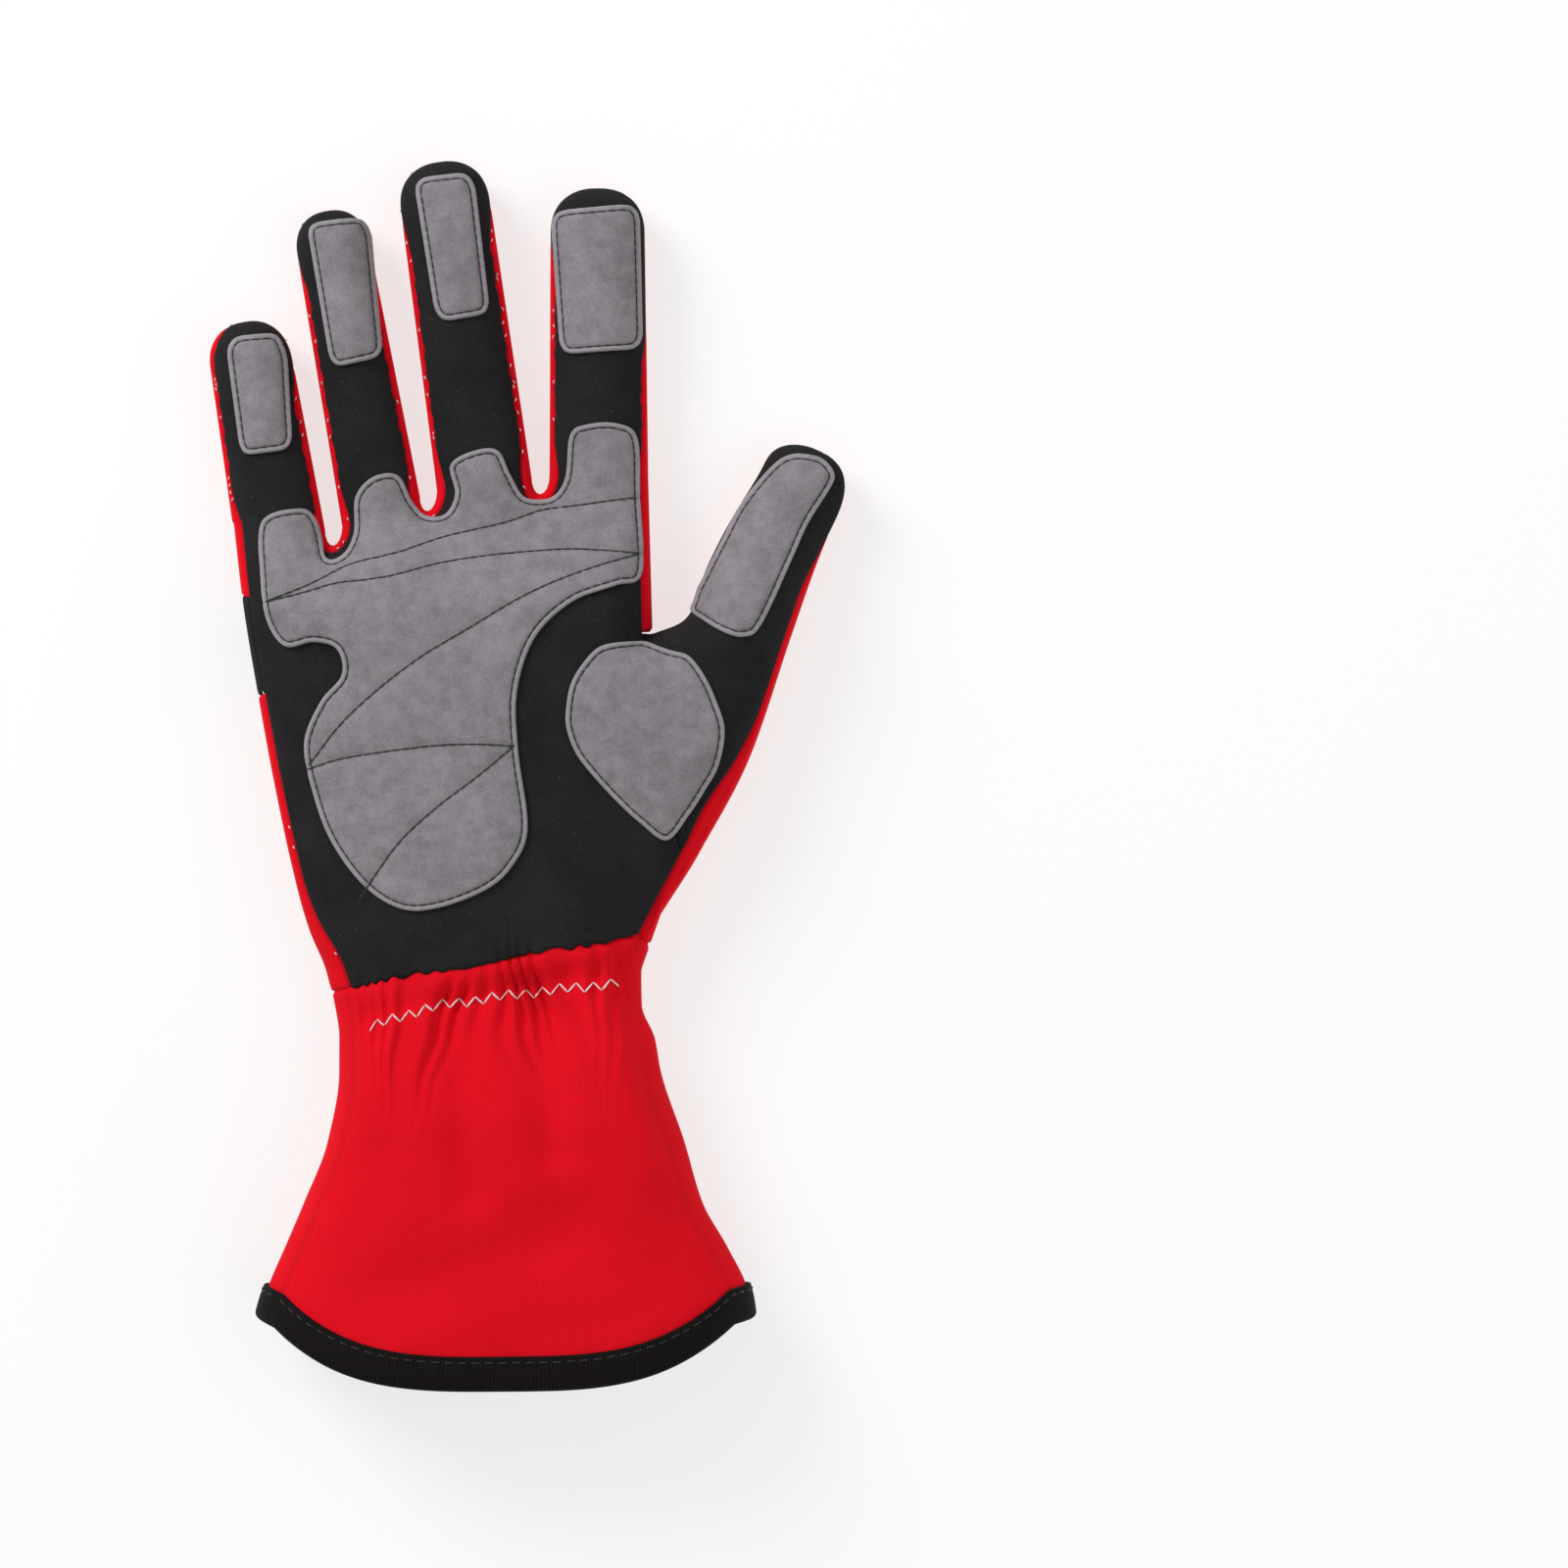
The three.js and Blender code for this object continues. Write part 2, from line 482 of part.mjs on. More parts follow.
// Panels as grids of plane points
const fingerGrids = (outer, inner) =>
  FINGERS.map((finger) => {
    const lefts = digitPlaces(finger, -1).map(finger === PINKY ? outer : inner);
    const rights = digitPlaces(finger, 1).map(finger === INDEX ? outer : inner);
    return lefts.map((left, j) => across(left, rights[j], FINGER_COLUMNS));
  });
const notchPlaces = (i) => steps(NOTCH_COLUMNS).slice(1, -1).map((t) => placeOf((inset) => notchPoint(i, t, inset)));
const knuckleRow = (grids, inner) =>
  grids.flatMap((grid, i) => [...grid[0], ...(i < grids.length - 1 ? notchPlaces(i).map(inner) : [])]);
const HAND_COLUMNS = 4 * (FINGER_COLUMNS + 1) + 3 * (NOTCH_COLUMNS - 1) - 1;

function palmGrids(shift) {
  const seam = (place) => palmSeam(place, shift);
  const fingers = fingerGrids(seam, seam);
  const left = leftPlaces.map(seam);
  const right = [
    ...outerPlaces.slice(0, 2).map(seam),
    ...thumbSeam(-shift).reverse(),
    ...indexPlaces.slice(0, -1).map(seam).reverse(),
  ];
  const bottom = evenly(left[0], right[0], HAND_COLUMNS);
  return [coons(bottom, knuckleRow(fingers, seam), left, right), ...fingers].map((rows) => ({ rows, side: PALM }));
}

function thumbFrontGrid(shift) {
  const lefts = innerPlaces.map((place) => edgeSeam(place, shift));
  const rights = [0.115, 0.13, 0.15, ...thumbSteps].map((t) => palmSeam(outerPlace(t), shift));
  const rows = lefts.map((left, j) => across(left, rights[j], SEAM_ROWS));
  return { rows: [thumbSeam(shift), ...rows], side: PALM };
}

function thumbBackGrid() {
  const lefts = innerPlaces.map((place) => edgeSeam(place, -HALF_GAP));
  const seam = steps(SIDE_ROWS).map((t) => (t === 1 ? sideSeamEnd : sideSeam(t)));
  const rows = lefts.map((left, j) => evenly(left, backFlat(outerPlaces[j]), SIDE_ROWS + 1));
  return { rows: [[lefts[0], ...seam], ...rows.slice(1)], side: BACK };
}

const waistRow = evenly(backFlat(leftPlaces[0]), moved(sideSeamEnd, -GAP), HAND_COLUMNS);
function backGrids() {
  const fingers = fingerGrids(backFlat, backSeam);
  const left = leftPlaces.map(backFlat);
  const seam = steps(SIDE_ROWS).slice(1).map((t) => moved(sideSeam(t), -GAP)).reverse();
  const right = [...seam, ...indexPlaces.map(backFlat).reverse()];
  const grids = [coons(waistRow, knuckleRow(fingers, backSeam), left, right), ...fingers];
  return grids.map((rows) => ({ rows, side: BACK }));
}
const pinkySide = wrapStrip([...leftPlaces, ...digitPlaces(PINKY, -1).slice(1, FINGER_ROWS + 1)]);
const indexStrip = wrapStrip([
  ...digitPlaces(INDEX, 1).slice(1, FINGER_ROWS + 1).reverse(),
  ...indexPlaces,
]);
const thumbSide = wrapStrip(outerPlaces.slice(0, FINGER_ROWS + 3));

// Gusset between finger i and the next one, round the notch
function fourchetteRows(i) {
  const places = [
    ...digitPlaces(FINGERS[i], 1).slice(0, FINGER_ROWS + 1).reverse(),
    ...notchPlaces(i),
    ...digitPlaces(FINGERS[i + 1], -1).slice(0, FINGER_ROWS + 1),
  ];
  const first = (place) => palmTurn(place, -HALF_GAP * (1 - place.fade));
  const last = (place) => backTurn(place, HALF_GAP * (1 - place.fade));
  return strip(places, first, last);
}

// Cuff. The hem hangs in a curve between its corners.
function hemRow(left, right, columns) {
  return evenly(left, right, columns).map((p, i) => {
    const s = (2 * i) / columns - 1;
    return i % columns ? moved(p, 0, -HEM_SAG * (1 - Math.abs(s) ** 3.3)) : p;
  });
}
const HEM_CROWDING = 1.25; // draws the cuff's rows together towards the hem, so the first lies past the binding
const cuffPlaces = (pointAt, top, wrap) =>
  steps(CUFF_ROWS)
    .map((s) => mix(-1, top, s ** HEM_CROWDING))
    .map((at) => placeOf((inset) => pointAt(at, inset), wrap));
const cuffLeft = cuffPlaces(leftPoint, HEEL_LEFT.at - GAP / CUFF_LENGTH, HEEL_LEFT.inset);
const cuffRight = cuffPlaces(rightPoint, HEEL_RIGHT.at - GAP / HAND_LENGTH, HEEL_RIGHT.inset);
const cuffFront = (() => {
  const [left, right] = [cuffLeft, cuffRight].map((places) => places.map((place) => palmSeam(place, 0)));
  const bottom = hemRow(left[0], right[0], CUFF_COLUMNS);
  const top = evenly(left.at(-1), right.at(-1), CUFF_COLUMNS);
  return coons(bottom, top, left, right);
})();
const cuffSides = [cuffLeft, cuffRight].map((places) => strip(places, (place) => palmTurn(place, 0), flatTurn));
const cuffBack = (() => {
  const left = [...cuffLeft.map((place) => moved(backFlat(place), GAP)), waistRow[0]];
  const right = [...cuffRight.map((place) => moved(backFlat(place), -GAP)), waistRow.at(-1)];
  return coons(hemRow(left[0], right[0], HAND_COLUMNS), waistRow, left, right);
})();

// Cloth over grids that share their edge points: one closed body, its outer face lifted off the skin.
function cloth(grids, thickness, lift = () => 0) {
  const bare = [];
  const outer = [];
  const inner = [];
  const normals = [];
  const found = new Map();
  const vertex = (p, side) => {
    const { place, normal } = skin(p, p.side ?? side);
    const key = [place.x, place.y, place.z].map((c) => Math.round(c * 500)).join();
    if (!found.has(key)) {
      found.set(key, outer.length);
      bare.push(place);
      const top = place.clone().addScaledVector(normal, lift(p));
      outer.push(top);
      inner.push(top.clone().addScaledVector(normal, -thickness));
      normals.push(normal);
    }
    return found.get(key);
  };
  const faces = [];
  const addFace = (ids) => {
    if (new Set(ids).size < 3) return;
    const [a, b, c] = ids.map((id) => bare[id]);
    const facing = b.clone().sub(a).cross(c.clone().sub(a));
    const wanted = ids.reduce((sum, id) => sum.add(normals[id]), new THREE.Vector3());
    faces.push(facing.dot(wanted) < 0 ? [ids[0], ids[2], ids[1]] : ids);
  };
  for (const { rows, side } of grids) {
    const ids = rows.map((row) => row.map((p) => vertex(p, side)));
    for (let j = 1; j < ids.length; j++) {
      for (let i = 1; i < ids[j].length; i++) {
        const [a, b, c, d] = [ids[j - 1][i - 1], ids[j - 1][i], ids[j][i], ids[j][i - 1]];
        addFace([a, b, c]);
        addFace([a, c, d]);
      }
    }
  }
  return closed(outer, inner, faces);
}

// Closes a sheet of triangles: its outer face, its inner face and a wall along every free edge. Walls on the two
// sides of a seam are split along like diagonals, so they stay parallel.
function closed(outer, inner, faces) {
  const n = outer.length;
  const edges = new Map();
  for (const face of faces) {
    face.forEach((a, k) => {
      const b = face[(k + 1) % 3];
      if (!edges.delete(`${b},${a}`)) edges.set(`${a},${b}`, [a, b]);
    });
  }
  const lower = (a, b) => (outer[a].y - outer[b].y || outer[a].x - outer[b].x) < 0;
  const walls = [...edges.values()].flatMap(([a, b]) =>
    lower(a, b) ? [[b, a, b + n], [a, a + n, b + n]] : [[b, a, a + n], [b, a + n, b + n]],
  );
  const backs = faces.map(([a, b, c]) => [a + n, c + n, b + n]);
  const geometry = new THREE.BufferGeometry();
  geometry.setFromPoints([...outer, ...inner]);
  geometry.setIndex([...faces, ...backs, ...walls].flat());
  return geometry;
}

// Binding folded round the hem: at each place of the hem, a U-shaped section that follows the cuff's cloth.
function bindingGeometry() {
  const upTo = (row0, row1) => row0.map((p, i) => ({ from: p, to: row1[i] }));
  const around = (rows) => rows.map((row) => ({ from: row[0], to: row[1] }));
  const places = [
    ...upTo(cuffFront[0], cuffFront[1]),
    ...around(cuffSides[1]).slice(1),
    ...upTo(cuffBack[0], cuffBack[1]).slice(1, -1).reverse(),
    ...around(cuffSides[0]).slice(1).reverse(),
  ];
  const [outside, inside] = [GAP, -CLOTH - GAP];
  const section = [
    [BINDING_WIDTH, outside], [BINDING_WIDTH, outside + BINDING_CLOTH],
    [-GAP - BINDING_CLOTH, outside + BINDING_CLOTH], [-GAP - BINDING_CLOTH, inside - BINDING_CLOTH],
    [BINDING_WIDTH, inside - BINDING_CLOTH], [BINDING_WIDTH, inside],
    [-GAP, inside], [-GAP, outside],
  ];
  const backIndex = CUFF_COLUMNS + 1 + RIM_ROWS;
  const points = places.flatMap(({ from, to }, k) => {
    const side = from.side ?? (k < backIndex ? PALM : BACK);
    const length = apart(from, to);
    return section.map(([along, lift]) => {
      const p = { ...between(from, to, along / length), inset: from.inset };
      const { place, normal } = skin(p, side);
      return place.addScaledVector(normal, lift);
    });
  });
  const m = section.length;
  const id = (k, i) => (k % places.length) * m + (i % m);
  const faces = places.flatMap((_, k) =>
    section.flatMap((_, i) => {
      const [a, b, c, d] = [id(k, i), id(k + 1, i), id(k + 1, i + 1), id(k, i + 1)];
      return [[a, c, b], [a, d, c]];
    }),
  );
  const geometry = new THREE.BufferGeometry();
  geometry.setFromPoints(points);
  geometry.setIndex(faces.flat());
  return geometry;
}

// Solids for cutting
function solidOf(geometry) {
  const bare = geometry.clone();
  bare.deleteAttribute("normal");
  bare.deleteAttribute("uv");
  const merged = mergeVertices(bare, 1e-4);
  const mesh = new wasm.Mesh({
    numProp: 3,
    vertProperties: merged.attributes.position.array,
    triVerts: new Uint32Array(merged.index.array),
  });
  return new wasm.Manifold(mesh);
}

function geometryOf(solid) {
  const mesh = solid.getMesh();
  const geometry = new THREE.BufferGeometry();
  geometry.setAttribute("position", new THREE.BufferAttribute(mesh.vertProperties, 3));
  geometry.setIndex(new THREE.BufferAttribute(mesh.triVerts, 1));
  return geometry;
}

// Upright cutter over a closed run of plane points.
function cutter(points) {
  const shape = new THREE.Shape(points.map((p) => new THREE.Vector2(p.x, p.y)));
  const depth = 4 * HEM_DEPTH;
  const geometry = new THREE.ExtrudeGeometry(shape, { depth, bevelEnabled: false });
  return solidOf(geometry.translate(0, 0, -depth / 2));
}

// Closed smooth outline through points, and the same outline grown by a length.
function smoothOutline(points) {
  const curve = new THREE.CatmullRomCurve3(points.map((p) => new THREE.Vector3(p.x, p.y, 0)), true);
  return curve.getPoints(Math.round(OUTLINE_STEPS * points.length)).slice(0, -1);
}
function grown(points, by) {
  const turn = Math.sign(THREE.ShapeUtils.area(points));
  return points.map((p, i) => {
    const [a, b] = [points.at(i - 1), points[(i + 1) % points.length]];
    const shift = (turn * by) / apart(a, b);
    return moved(p, shift * (b.y - a.y), -shift * (b.x - a.x));
  });
}
const cutOut = (sheet, points) => geometryOf(solidOf(sheet).intersect(cutter(points)));

// Suede patches lie on the panels: the panel's own facets, lifted and cut to the patch's outline.
const suedeLift = () => GAP + SUEDE;
const SEAM_BULK = 0.15; // lifts a patch that crosses a seam
const palmSheet = () => cloth(palmGrids(HALF_GAP), SUEDE, suedeLift);

// Outlines on the hand. x: share of the palm's width from x = 0, up: share of the hand's length above the wrist.
const handPoints = (pairs) => pairs.map(([x, up]) => ({ x: x * PALM_WIDTH, y: heightOf(0) + up * HAND_LENGTH }));

const PALM_PATCH = handPoints([
  [-0.631, 0.969], [-0.549, 0.998], [-0.509, 0.977], [-0.479, 0.892], [-0.434, 0.898], [-0.408, 0.946],
  [-0.406, 1.022], [-0.366, 1.064], [-0.31, 1.068], [-0.277, 1.012], [-0.244, 0.981], [-0.192, 0.985],
  [-0.167, 1.029], [-0.178, 1.091], [-0.122, 1.12], [-0.068, 1.12], [-0.04, 1.07], [-0.005, 1.02],
  [0.059, 1.018], [0.096, 1.06], [0.108, 1.153], [0.148, 1.175], [0.218, 1.177], [0.261, 1.148],
  [0.268, 1.027], [0.272, 0.861], [0.214, 0.834], [0.113, 0.799], [0.026, 0.725], [-0.016, 0.615],
  [-0.014, 0.491], [0.009, 0.326], [-0.028, 0.246], [-0.092, 0.196], [-0.204, 0.159], [-0.293, 0.157],
  [-0.38, 0.204], [-0.455, 0.293], [-0.498, 0.388], [-0.523, 0.502], [-0.486, 0.589], [-0.434, 0.646],
  [-0.446, 0.7], [-0.502, 0.715], [-0.568, 0.706], [-0.61, 0.76], [-0.627, 0.853],
]);

const THUMB_BASE_PATCH = handPoints([
  [0.262, 0.716], [0.306, 0.707], [0.35, 0.695], [0.394, 0.684], [0.432, 0.64], [0.46, 0.584], [0.474, 0.529],
  [0.458, 0.458], [0.425, 0.405], [0.39, 0.357], [0.336, 0.301], [0.275, 0.336], [0.223, 0.378],
  [0.164, 0.434], [0.122, 0.483], [0.101, 0.533], [0.099, 0.57], [0.11, 0.626], [0.141, 0.673], [0.185, 0.708],
]);

// The black panel in the back of the hand, running out over the pinky side.
const INSET = handPoints([
  [-0.76, 0.815], [-0.653, 0.808], [-0.592, 0.839], [-0.455, 0.907], [-0.268, 0.958], [-0.124, 0.969],
  [0.012, 0.963], [0.085, 0.93], [0.136, 0.876], [0.169, 0.812], [0.178, 0.748], [0.174, 0.686],
  [0.146, 0.622], [0.101, 0.578], [0.021, 0.558], [-0.07, 0.568], [-0.185, 0.599], [-0.293, 0.626],
  [-0.411, 0.638], [-0.519, 0.636], [-0.603, 0.617], [-0.76, 0.59],
]);

// Patch on the thumb, in the thumb's own frame. up: share of its length, out: share of its width.
const THUMB_PATCH = [
  [0.168, 0.26], [0.139, 0.455], [0.133, 0.7], [0.154, 0.88], [0.227, 0.973], [0.52, 0.959], [0.697, 0.947],
  [0.859, 0.985], [0.923, 0.969], [0.957, 0.837], [0.956, 0.69], [0.921, 0.49], [0.843, 0.37], [0.646, 0.26],
  [0.485, 0.25], [0.305, 0.25],
].map(([up, out]) => {
  const reach = thumbVector(up, out);
  return moved(CROTCH, reach.x, reach.y);
});

// Fingertip patches. from, to: shares of the finger's length, left, right: shares of its half width, slant: how
// much higher the right end of the lower edge lies.
const TIP_PATCHES = [
  { finger: 0, from: 0.33, to: 0.9, left: -0.41, right: 0.86, slant: 0.05 },
  { finger: 1, from: 0.48, to: 0.955, left: -0.43, right: 0.8, slant: 0.05 },
  { finger: 2, from: 0.51, to: 0.955, left: -0.57, right: 0.74, slant: 0 },
  { finger: 3, from: 0.415, to: 0.94, left: -0.76, right: 0.86, slant: 0 },
];
function tipPatch({ finger, from, to, left, right, slant }) {
  const digit = FINGERS[finger];
  const squared = (c) => Math.sign(c) * Math.abs(c) ** 0.62;
  return steps(24).slice(1).map((s) => {
    const [cos, sin] = [squared(Math.cos(2 * Math.PI * s)), squared(Math.sin(2 * Math.PI * s))];
    const t = mix(from, to, (1 + sin) / 2) + (slant * cos * (1 - sin)) / 2;
    const share = (1 + mix(left, right, (1 + cos) / 2)) / 2;
    return between(digitEdge(digit, t, -1, 0), digitEdge(digit, t, 1, 0), share);
  });
}

// Wrist strap on the back, sewn in at the side seam, with its free end over the tab on the pinky side.
const STRAP_AT = 0.205;
const STRAP_ROUND = 5;
const strapY = heightOf(STRAP_AT);
const SEAM_MARGIN = 8; // the strap stops this far short of the seam, where the side starts to curve up
const strapEnd = (y) => sideSeam((y - sideSeamTop.y) / (sideSeamEnd.y - sideSeamTop.y)).x - SEAM_MARGIN;
const strapStart = strapEnd(strapY) - STRAP_LENGTH;
const RISE_LENGTH = 7; // over which the strap climbs on to the tab
const riseEnd = strapStart + TAB_OVERLAP + STRAP_LENGTH / BAND_COLUMNS + RISE_LENGTH;
const overTab = (p) => (TAB_CLOTH + GAP) * smooth((riseEnd - p.x) / RISE_LENGTH);
const strapLift = (p) => GAP + STRAP_CLOTH + overTab(p);

// Grid of a band between two ends; ends: functions from a height to x.
const bandRows = (middle, width, startAt, endAt) =>
  steps(BAND_ROWS, -1, 1).map((v) => {
    const y = middle + (v * width) / 2;
    return evenly({ x: startAt(v, y), y }, { x: endAt(v, y), y }, BAND_COLUMNS);
  });
const roundEnd = (v, radius) => radius * (1 - (1 - v ** 4) ** 0.25);
const strapRows = bandRows(
  strapY, STRAP_WIDTH, (v) => strapStart + roundEnd(v, STRAP_ROUND), (v, y) => strapEnd(y),
);
const pileRows = bandRows(
  strapY, STRAP_WIDTH - 2 * PILE_MARGIN, () => strapStart, (v, y) => strapEnd(y),
).map((row) => row.slice(1, -1));
const TAB_INSET = 3.5;
const tabY = strapY - 0.13 * STRAP_WIDTH;
const tabRows = bandRows(
  tabY, TAB_WIDTH, (v, y) => leftPoint(levelOf(y), TAB_INSET).x, () => strapStart + TAB_OVERLAP,
);

// Finishes
const RED = { color: 0xd51a26, roughness: 0.85 };
const BLACK = { color: 0x26262a, roughness: 0.95 };
const GREY = { color: 0x86868c, roughness: 0.95 };
const TAPE = { color: 0x1d1d20, roughness: 0.75 };
const PILE_RED = { color: 0xb81520, roughness: 0.95 };

const glove = new THREE.Group();
function add(name, geometry, finish) {
  const mesh = new THREE.Mesh(geometry, new THREE.MeshStandardMaterial({ ...finish, metalness: 0 }));
  mesh.name = name;
  glove.add(mesh);
}

const onBack = (rows) => [{ rows, side: BACK }];
const handBack = [...backGrids(), ...onBack(pinkySide)];
add("palm_panel", cloth(palmGrids(HALF_GAP), CLOTH), BLACK);
const backSheet = cloth([...handBack, ...onBack(indexStrip), ...onBack(cuffBack)], CLOTH);
const insetOutline = smoothOutline(INSET);
add("back_panel", geometryOf(solidOf(backSheet).subtract(cutter(grown(insetOutline, GAP / 2)))), RED);
add("back_inset", cutOut(cloth(handBack, CLOTH), grown(insetOutline, -GAP / 2)), BLACK);
for (let i = 0; i + 1 < FINGERS.length; i++) {
  add(`fourchette_${FINGERS[i].name}_${FINGERS[i + 1].name}`, cloth(onBack(fourchetteRows(i)), CLOTH), RED);
}
add("thumb_front", cloth([thumbFrontGrid(HALF_GAP)], CLOTH), BLACK);
add("thumb_back", cloth([thumbBackGrid(), ...onBack(thumbSide)], CLOTH), RED);
add("cuff_panel", cloth([{ rows: cuffFront, side: PALM }, ...cuffSides.flatMap(onBack)], CLOTH), RED);
add("hem_binding", bindingGeometry(), TAPE);
add("palm_patch", cutOut(palmSheet(), smoothOutline(PALM_PATCH)), GREY);
const joinedSheet = cloth([...palmGrids(0), thumbFrontGrid(0)], SUEDE, () => suedeLift() + SEAM_BULK);
add("thumb_base_patch", cutOut(joinedSheet, smoothOutline(THUMB_BASE_PATCH)), GREY);
add("thumb_patch", cutOut(cloth([thumbFrontGrid(HALF_GAP)], SUEDE, suedeLift), smoothOutline(THUMB_PATCH)), GREY);
for (const patch of TIP_PATCHES) {
  add(`${FINGERS[patch.finger].name}_patch`, cutOut(palmSheet(), tipPatch(patch)), GREY);
}
add("wrist_tab", cloth(onBack(tabRows), TAB_CLOTH, () => GAP + TAB_CLOTH), RED);
add("wrist_strap", cloth(onBack(strapRows), STRAP_CLOTH, strapLift), RED);
add("strap_loop_face", cloth(onBack(pileRows), PILE, (p) => strapLift(p) + GAP + PILE), PILE_RED);

// The origin is under the middle of the whole glove, on the surface that it lies on.
const box = new THREE.Box3().setFromObject(glove);
glove.position.set(-(box.min.x + box.max.x) / 2, -(box.min.y + box.max.y) / 2, -box.min.z);

export default glove;
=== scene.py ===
import math

import bpy
import numpy as np
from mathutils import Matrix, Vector
from mathutils.geometry import delaunay_2d_cdt


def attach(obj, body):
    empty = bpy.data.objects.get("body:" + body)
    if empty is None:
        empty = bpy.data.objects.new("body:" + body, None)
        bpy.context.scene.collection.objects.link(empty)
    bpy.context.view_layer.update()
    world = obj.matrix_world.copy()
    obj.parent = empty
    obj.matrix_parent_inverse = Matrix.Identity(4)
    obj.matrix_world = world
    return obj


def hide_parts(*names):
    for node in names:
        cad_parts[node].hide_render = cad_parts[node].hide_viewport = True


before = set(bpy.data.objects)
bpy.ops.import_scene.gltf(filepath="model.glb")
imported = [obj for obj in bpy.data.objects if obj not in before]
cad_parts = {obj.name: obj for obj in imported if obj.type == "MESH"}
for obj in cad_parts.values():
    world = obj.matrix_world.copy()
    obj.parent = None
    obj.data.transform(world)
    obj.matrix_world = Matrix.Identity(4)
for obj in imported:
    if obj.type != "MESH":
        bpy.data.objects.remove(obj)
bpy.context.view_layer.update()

# A right-hand racing glove with a flared gauntlet cuff, lying on its back with the palm up. Everything is
# worked out in millimetres on the glove's flat outline: +X is the thumb's side, +Y the fingertips, +Z the
# palm. A point of a surface is a row (x, y, inset, side): inset is its distance in from the outline where a
# seam fixes it, side is 1 on the palm and -1 on the back, and either is nan where the surface works it out.

# Sizes of the glove
FINGER_LENGTH = 82.0
HAND_LENGTH = 121.0
CUFF_LENGTH = 84.0
THUMB_LENGTH = 61.0
HEM_SAG = 15.5
PALM_WIDTH = 106.5
WRIST_WIDTH = 77.0
HEM_WIDTH = 125.5
THUMB_WIDTH = 24.5
NOTCH_WIDTH = 4.6
NOTCH_DEPTH = 4.5
FINGER_DEPTH = 17.0
PALM_DEPTH = 26.0
WRIST_DEPTH = 27.0
HEM_DEPTH = 35.0
PALM_CROWN = 3.2
TIP_ROUND = 0.46

# Cloth and seams
CLOTH = 1.6
SUEDE = 1.1
GAP = 0.3
HALF_GAP = 0.06
PALM_SEAM = 2.1
FINGER_SEAM = 1.05
BACK_SEAM = 2.6
BACK_TURN = math.radians(60)
BINDING_WIDTH = 7.4
BINDING_CLOTH = 0.8
BINDING_PITCH = 3.4
BINDING_STITCH_AT = 0.8
TAB_CLOTH = 1.1
TAB_WIDTH = 20.0
TAB_OVERLAP = 9.0
TAB_INSET = 3.5
STRAP_CLOTH = 1.4
STRAP_WIDTH = 31.0
STRAP_LENGTH = 62.0
STRAP_ROUND = 5.0
STRAP_AT = 0.205
PILE = 0.9
PILE_MARGIN = 3.0
THREAD = 0.5

# The glove's outline was drawn from this point, which lies over the frame's origin.
ORIGIN = np.array([-0.02906, -0.35941, 0.0])

# Fineness, in steps
FINGER_COLUMNS = 26
FINGER_ROWS = 64
TIP_ROWS = 18
NOTCH_COLUMNS = 8
RIM_ROWS = 14
OUTER_ROWS = 46
THUMB_SEAM_ROWS = 56
INDEX_SIDE_ROWS = 40
SIDE_ROWS = OUTER_ROWS + THUMB_SEAM_ROWS
HAND_ROWS = SIDE_ROWS + INDEX_SIDE_ROWS
HAND_COLUMNS = 4 * (FINGER_COLUMNS + 1) + 3 * (NOTCH_COLUMNS - 1) - 1
CUFF_COLUMNS = 170
CUFF_ROWS = 96
WELD_STEPS = 400

PALM, BACK = 1.0, -1.0
NAN = float("nan")


# Small maths

def mix(a, b, t):
    """a where t is 0, b where it is 1, straight between."""
    return a + (b - a) * t


def smooth(t):
    """0 below 0, 1 above 1, and 3t2 - 2t3 between."""
    t = np.clip(t, 0, 1)
    return t * t * (3 - 2 * t)


def bell(t):
    """exp(-t2)."""
    return np.exp(-np.square(t))


def apart(a, b):
    """Distance in the plane."""
    return np.hypot(b[..., 0] - a[..., 0], b[..., 1] - a[..., 1])


def table(columns, rows):
    """A table with named columns, as one array for each."""
    return dict(zip(columns.split(), np.array(rows, float).T))


def follow(rows, column, at):
    """Monotone cubic through one column of a table at the places `at`, straight beyond its ends."""
    x, y = rows["at"], rows[column]
    at = np.asarray(at, float)
    rise = np.diff(y) / np.diff(x)
    a, b = rise[:-1], rise[1:]
    same = a * b > 0
    slope = np.concatenate([rise[:1], np.where(same, 2 * a * b / np.where(same, a + b, 1), 0), rise[-1:]])
    i = np.clip(np.searchsorted(x, at, side="right") - 1, 0, len(x) - 2)
    span = x[i + 1] - x[i]
    t = (at - x[i]) / span
    t2, t3 = t * t, t * t * t
    inside = mix(y[i], y[i + 1], 3 * t2 - 2 * t3) + span * (
        slope[i] * (t3 - 2 * t2 + t) + slope[i + 1] * (t3 - t2)
    )
    below = y[0] + rise[0] * (at - x[0])
    above = y[-1] + rise[-1] * (at - x[-1])
    return np.where(at <= x[0], below, np.where(at >= x[-1], above, inside))


def ripple(x, y, seed, size):
    """Soft uneven waves between about -1 and 1: a sum of eight sines of seeded directions and phases, the
    longest about `size` long."""
    rng = np.random.default_rng(seed)
    total = np.zeros(np.shape(x))
    for k in range(8):
        turn, phase, stretch = rng.uniform(0, math.tau, 2).tolist() + [rng.uniform(0.6, 1.6)]
        wave = math.tau * stretch / size
        total += np.sin(wave * (np.cos(turn) * x + np.sin(turn) * y) + phase) / (1 + 0.3 * k)
    return total / 2.6


# The flat outline

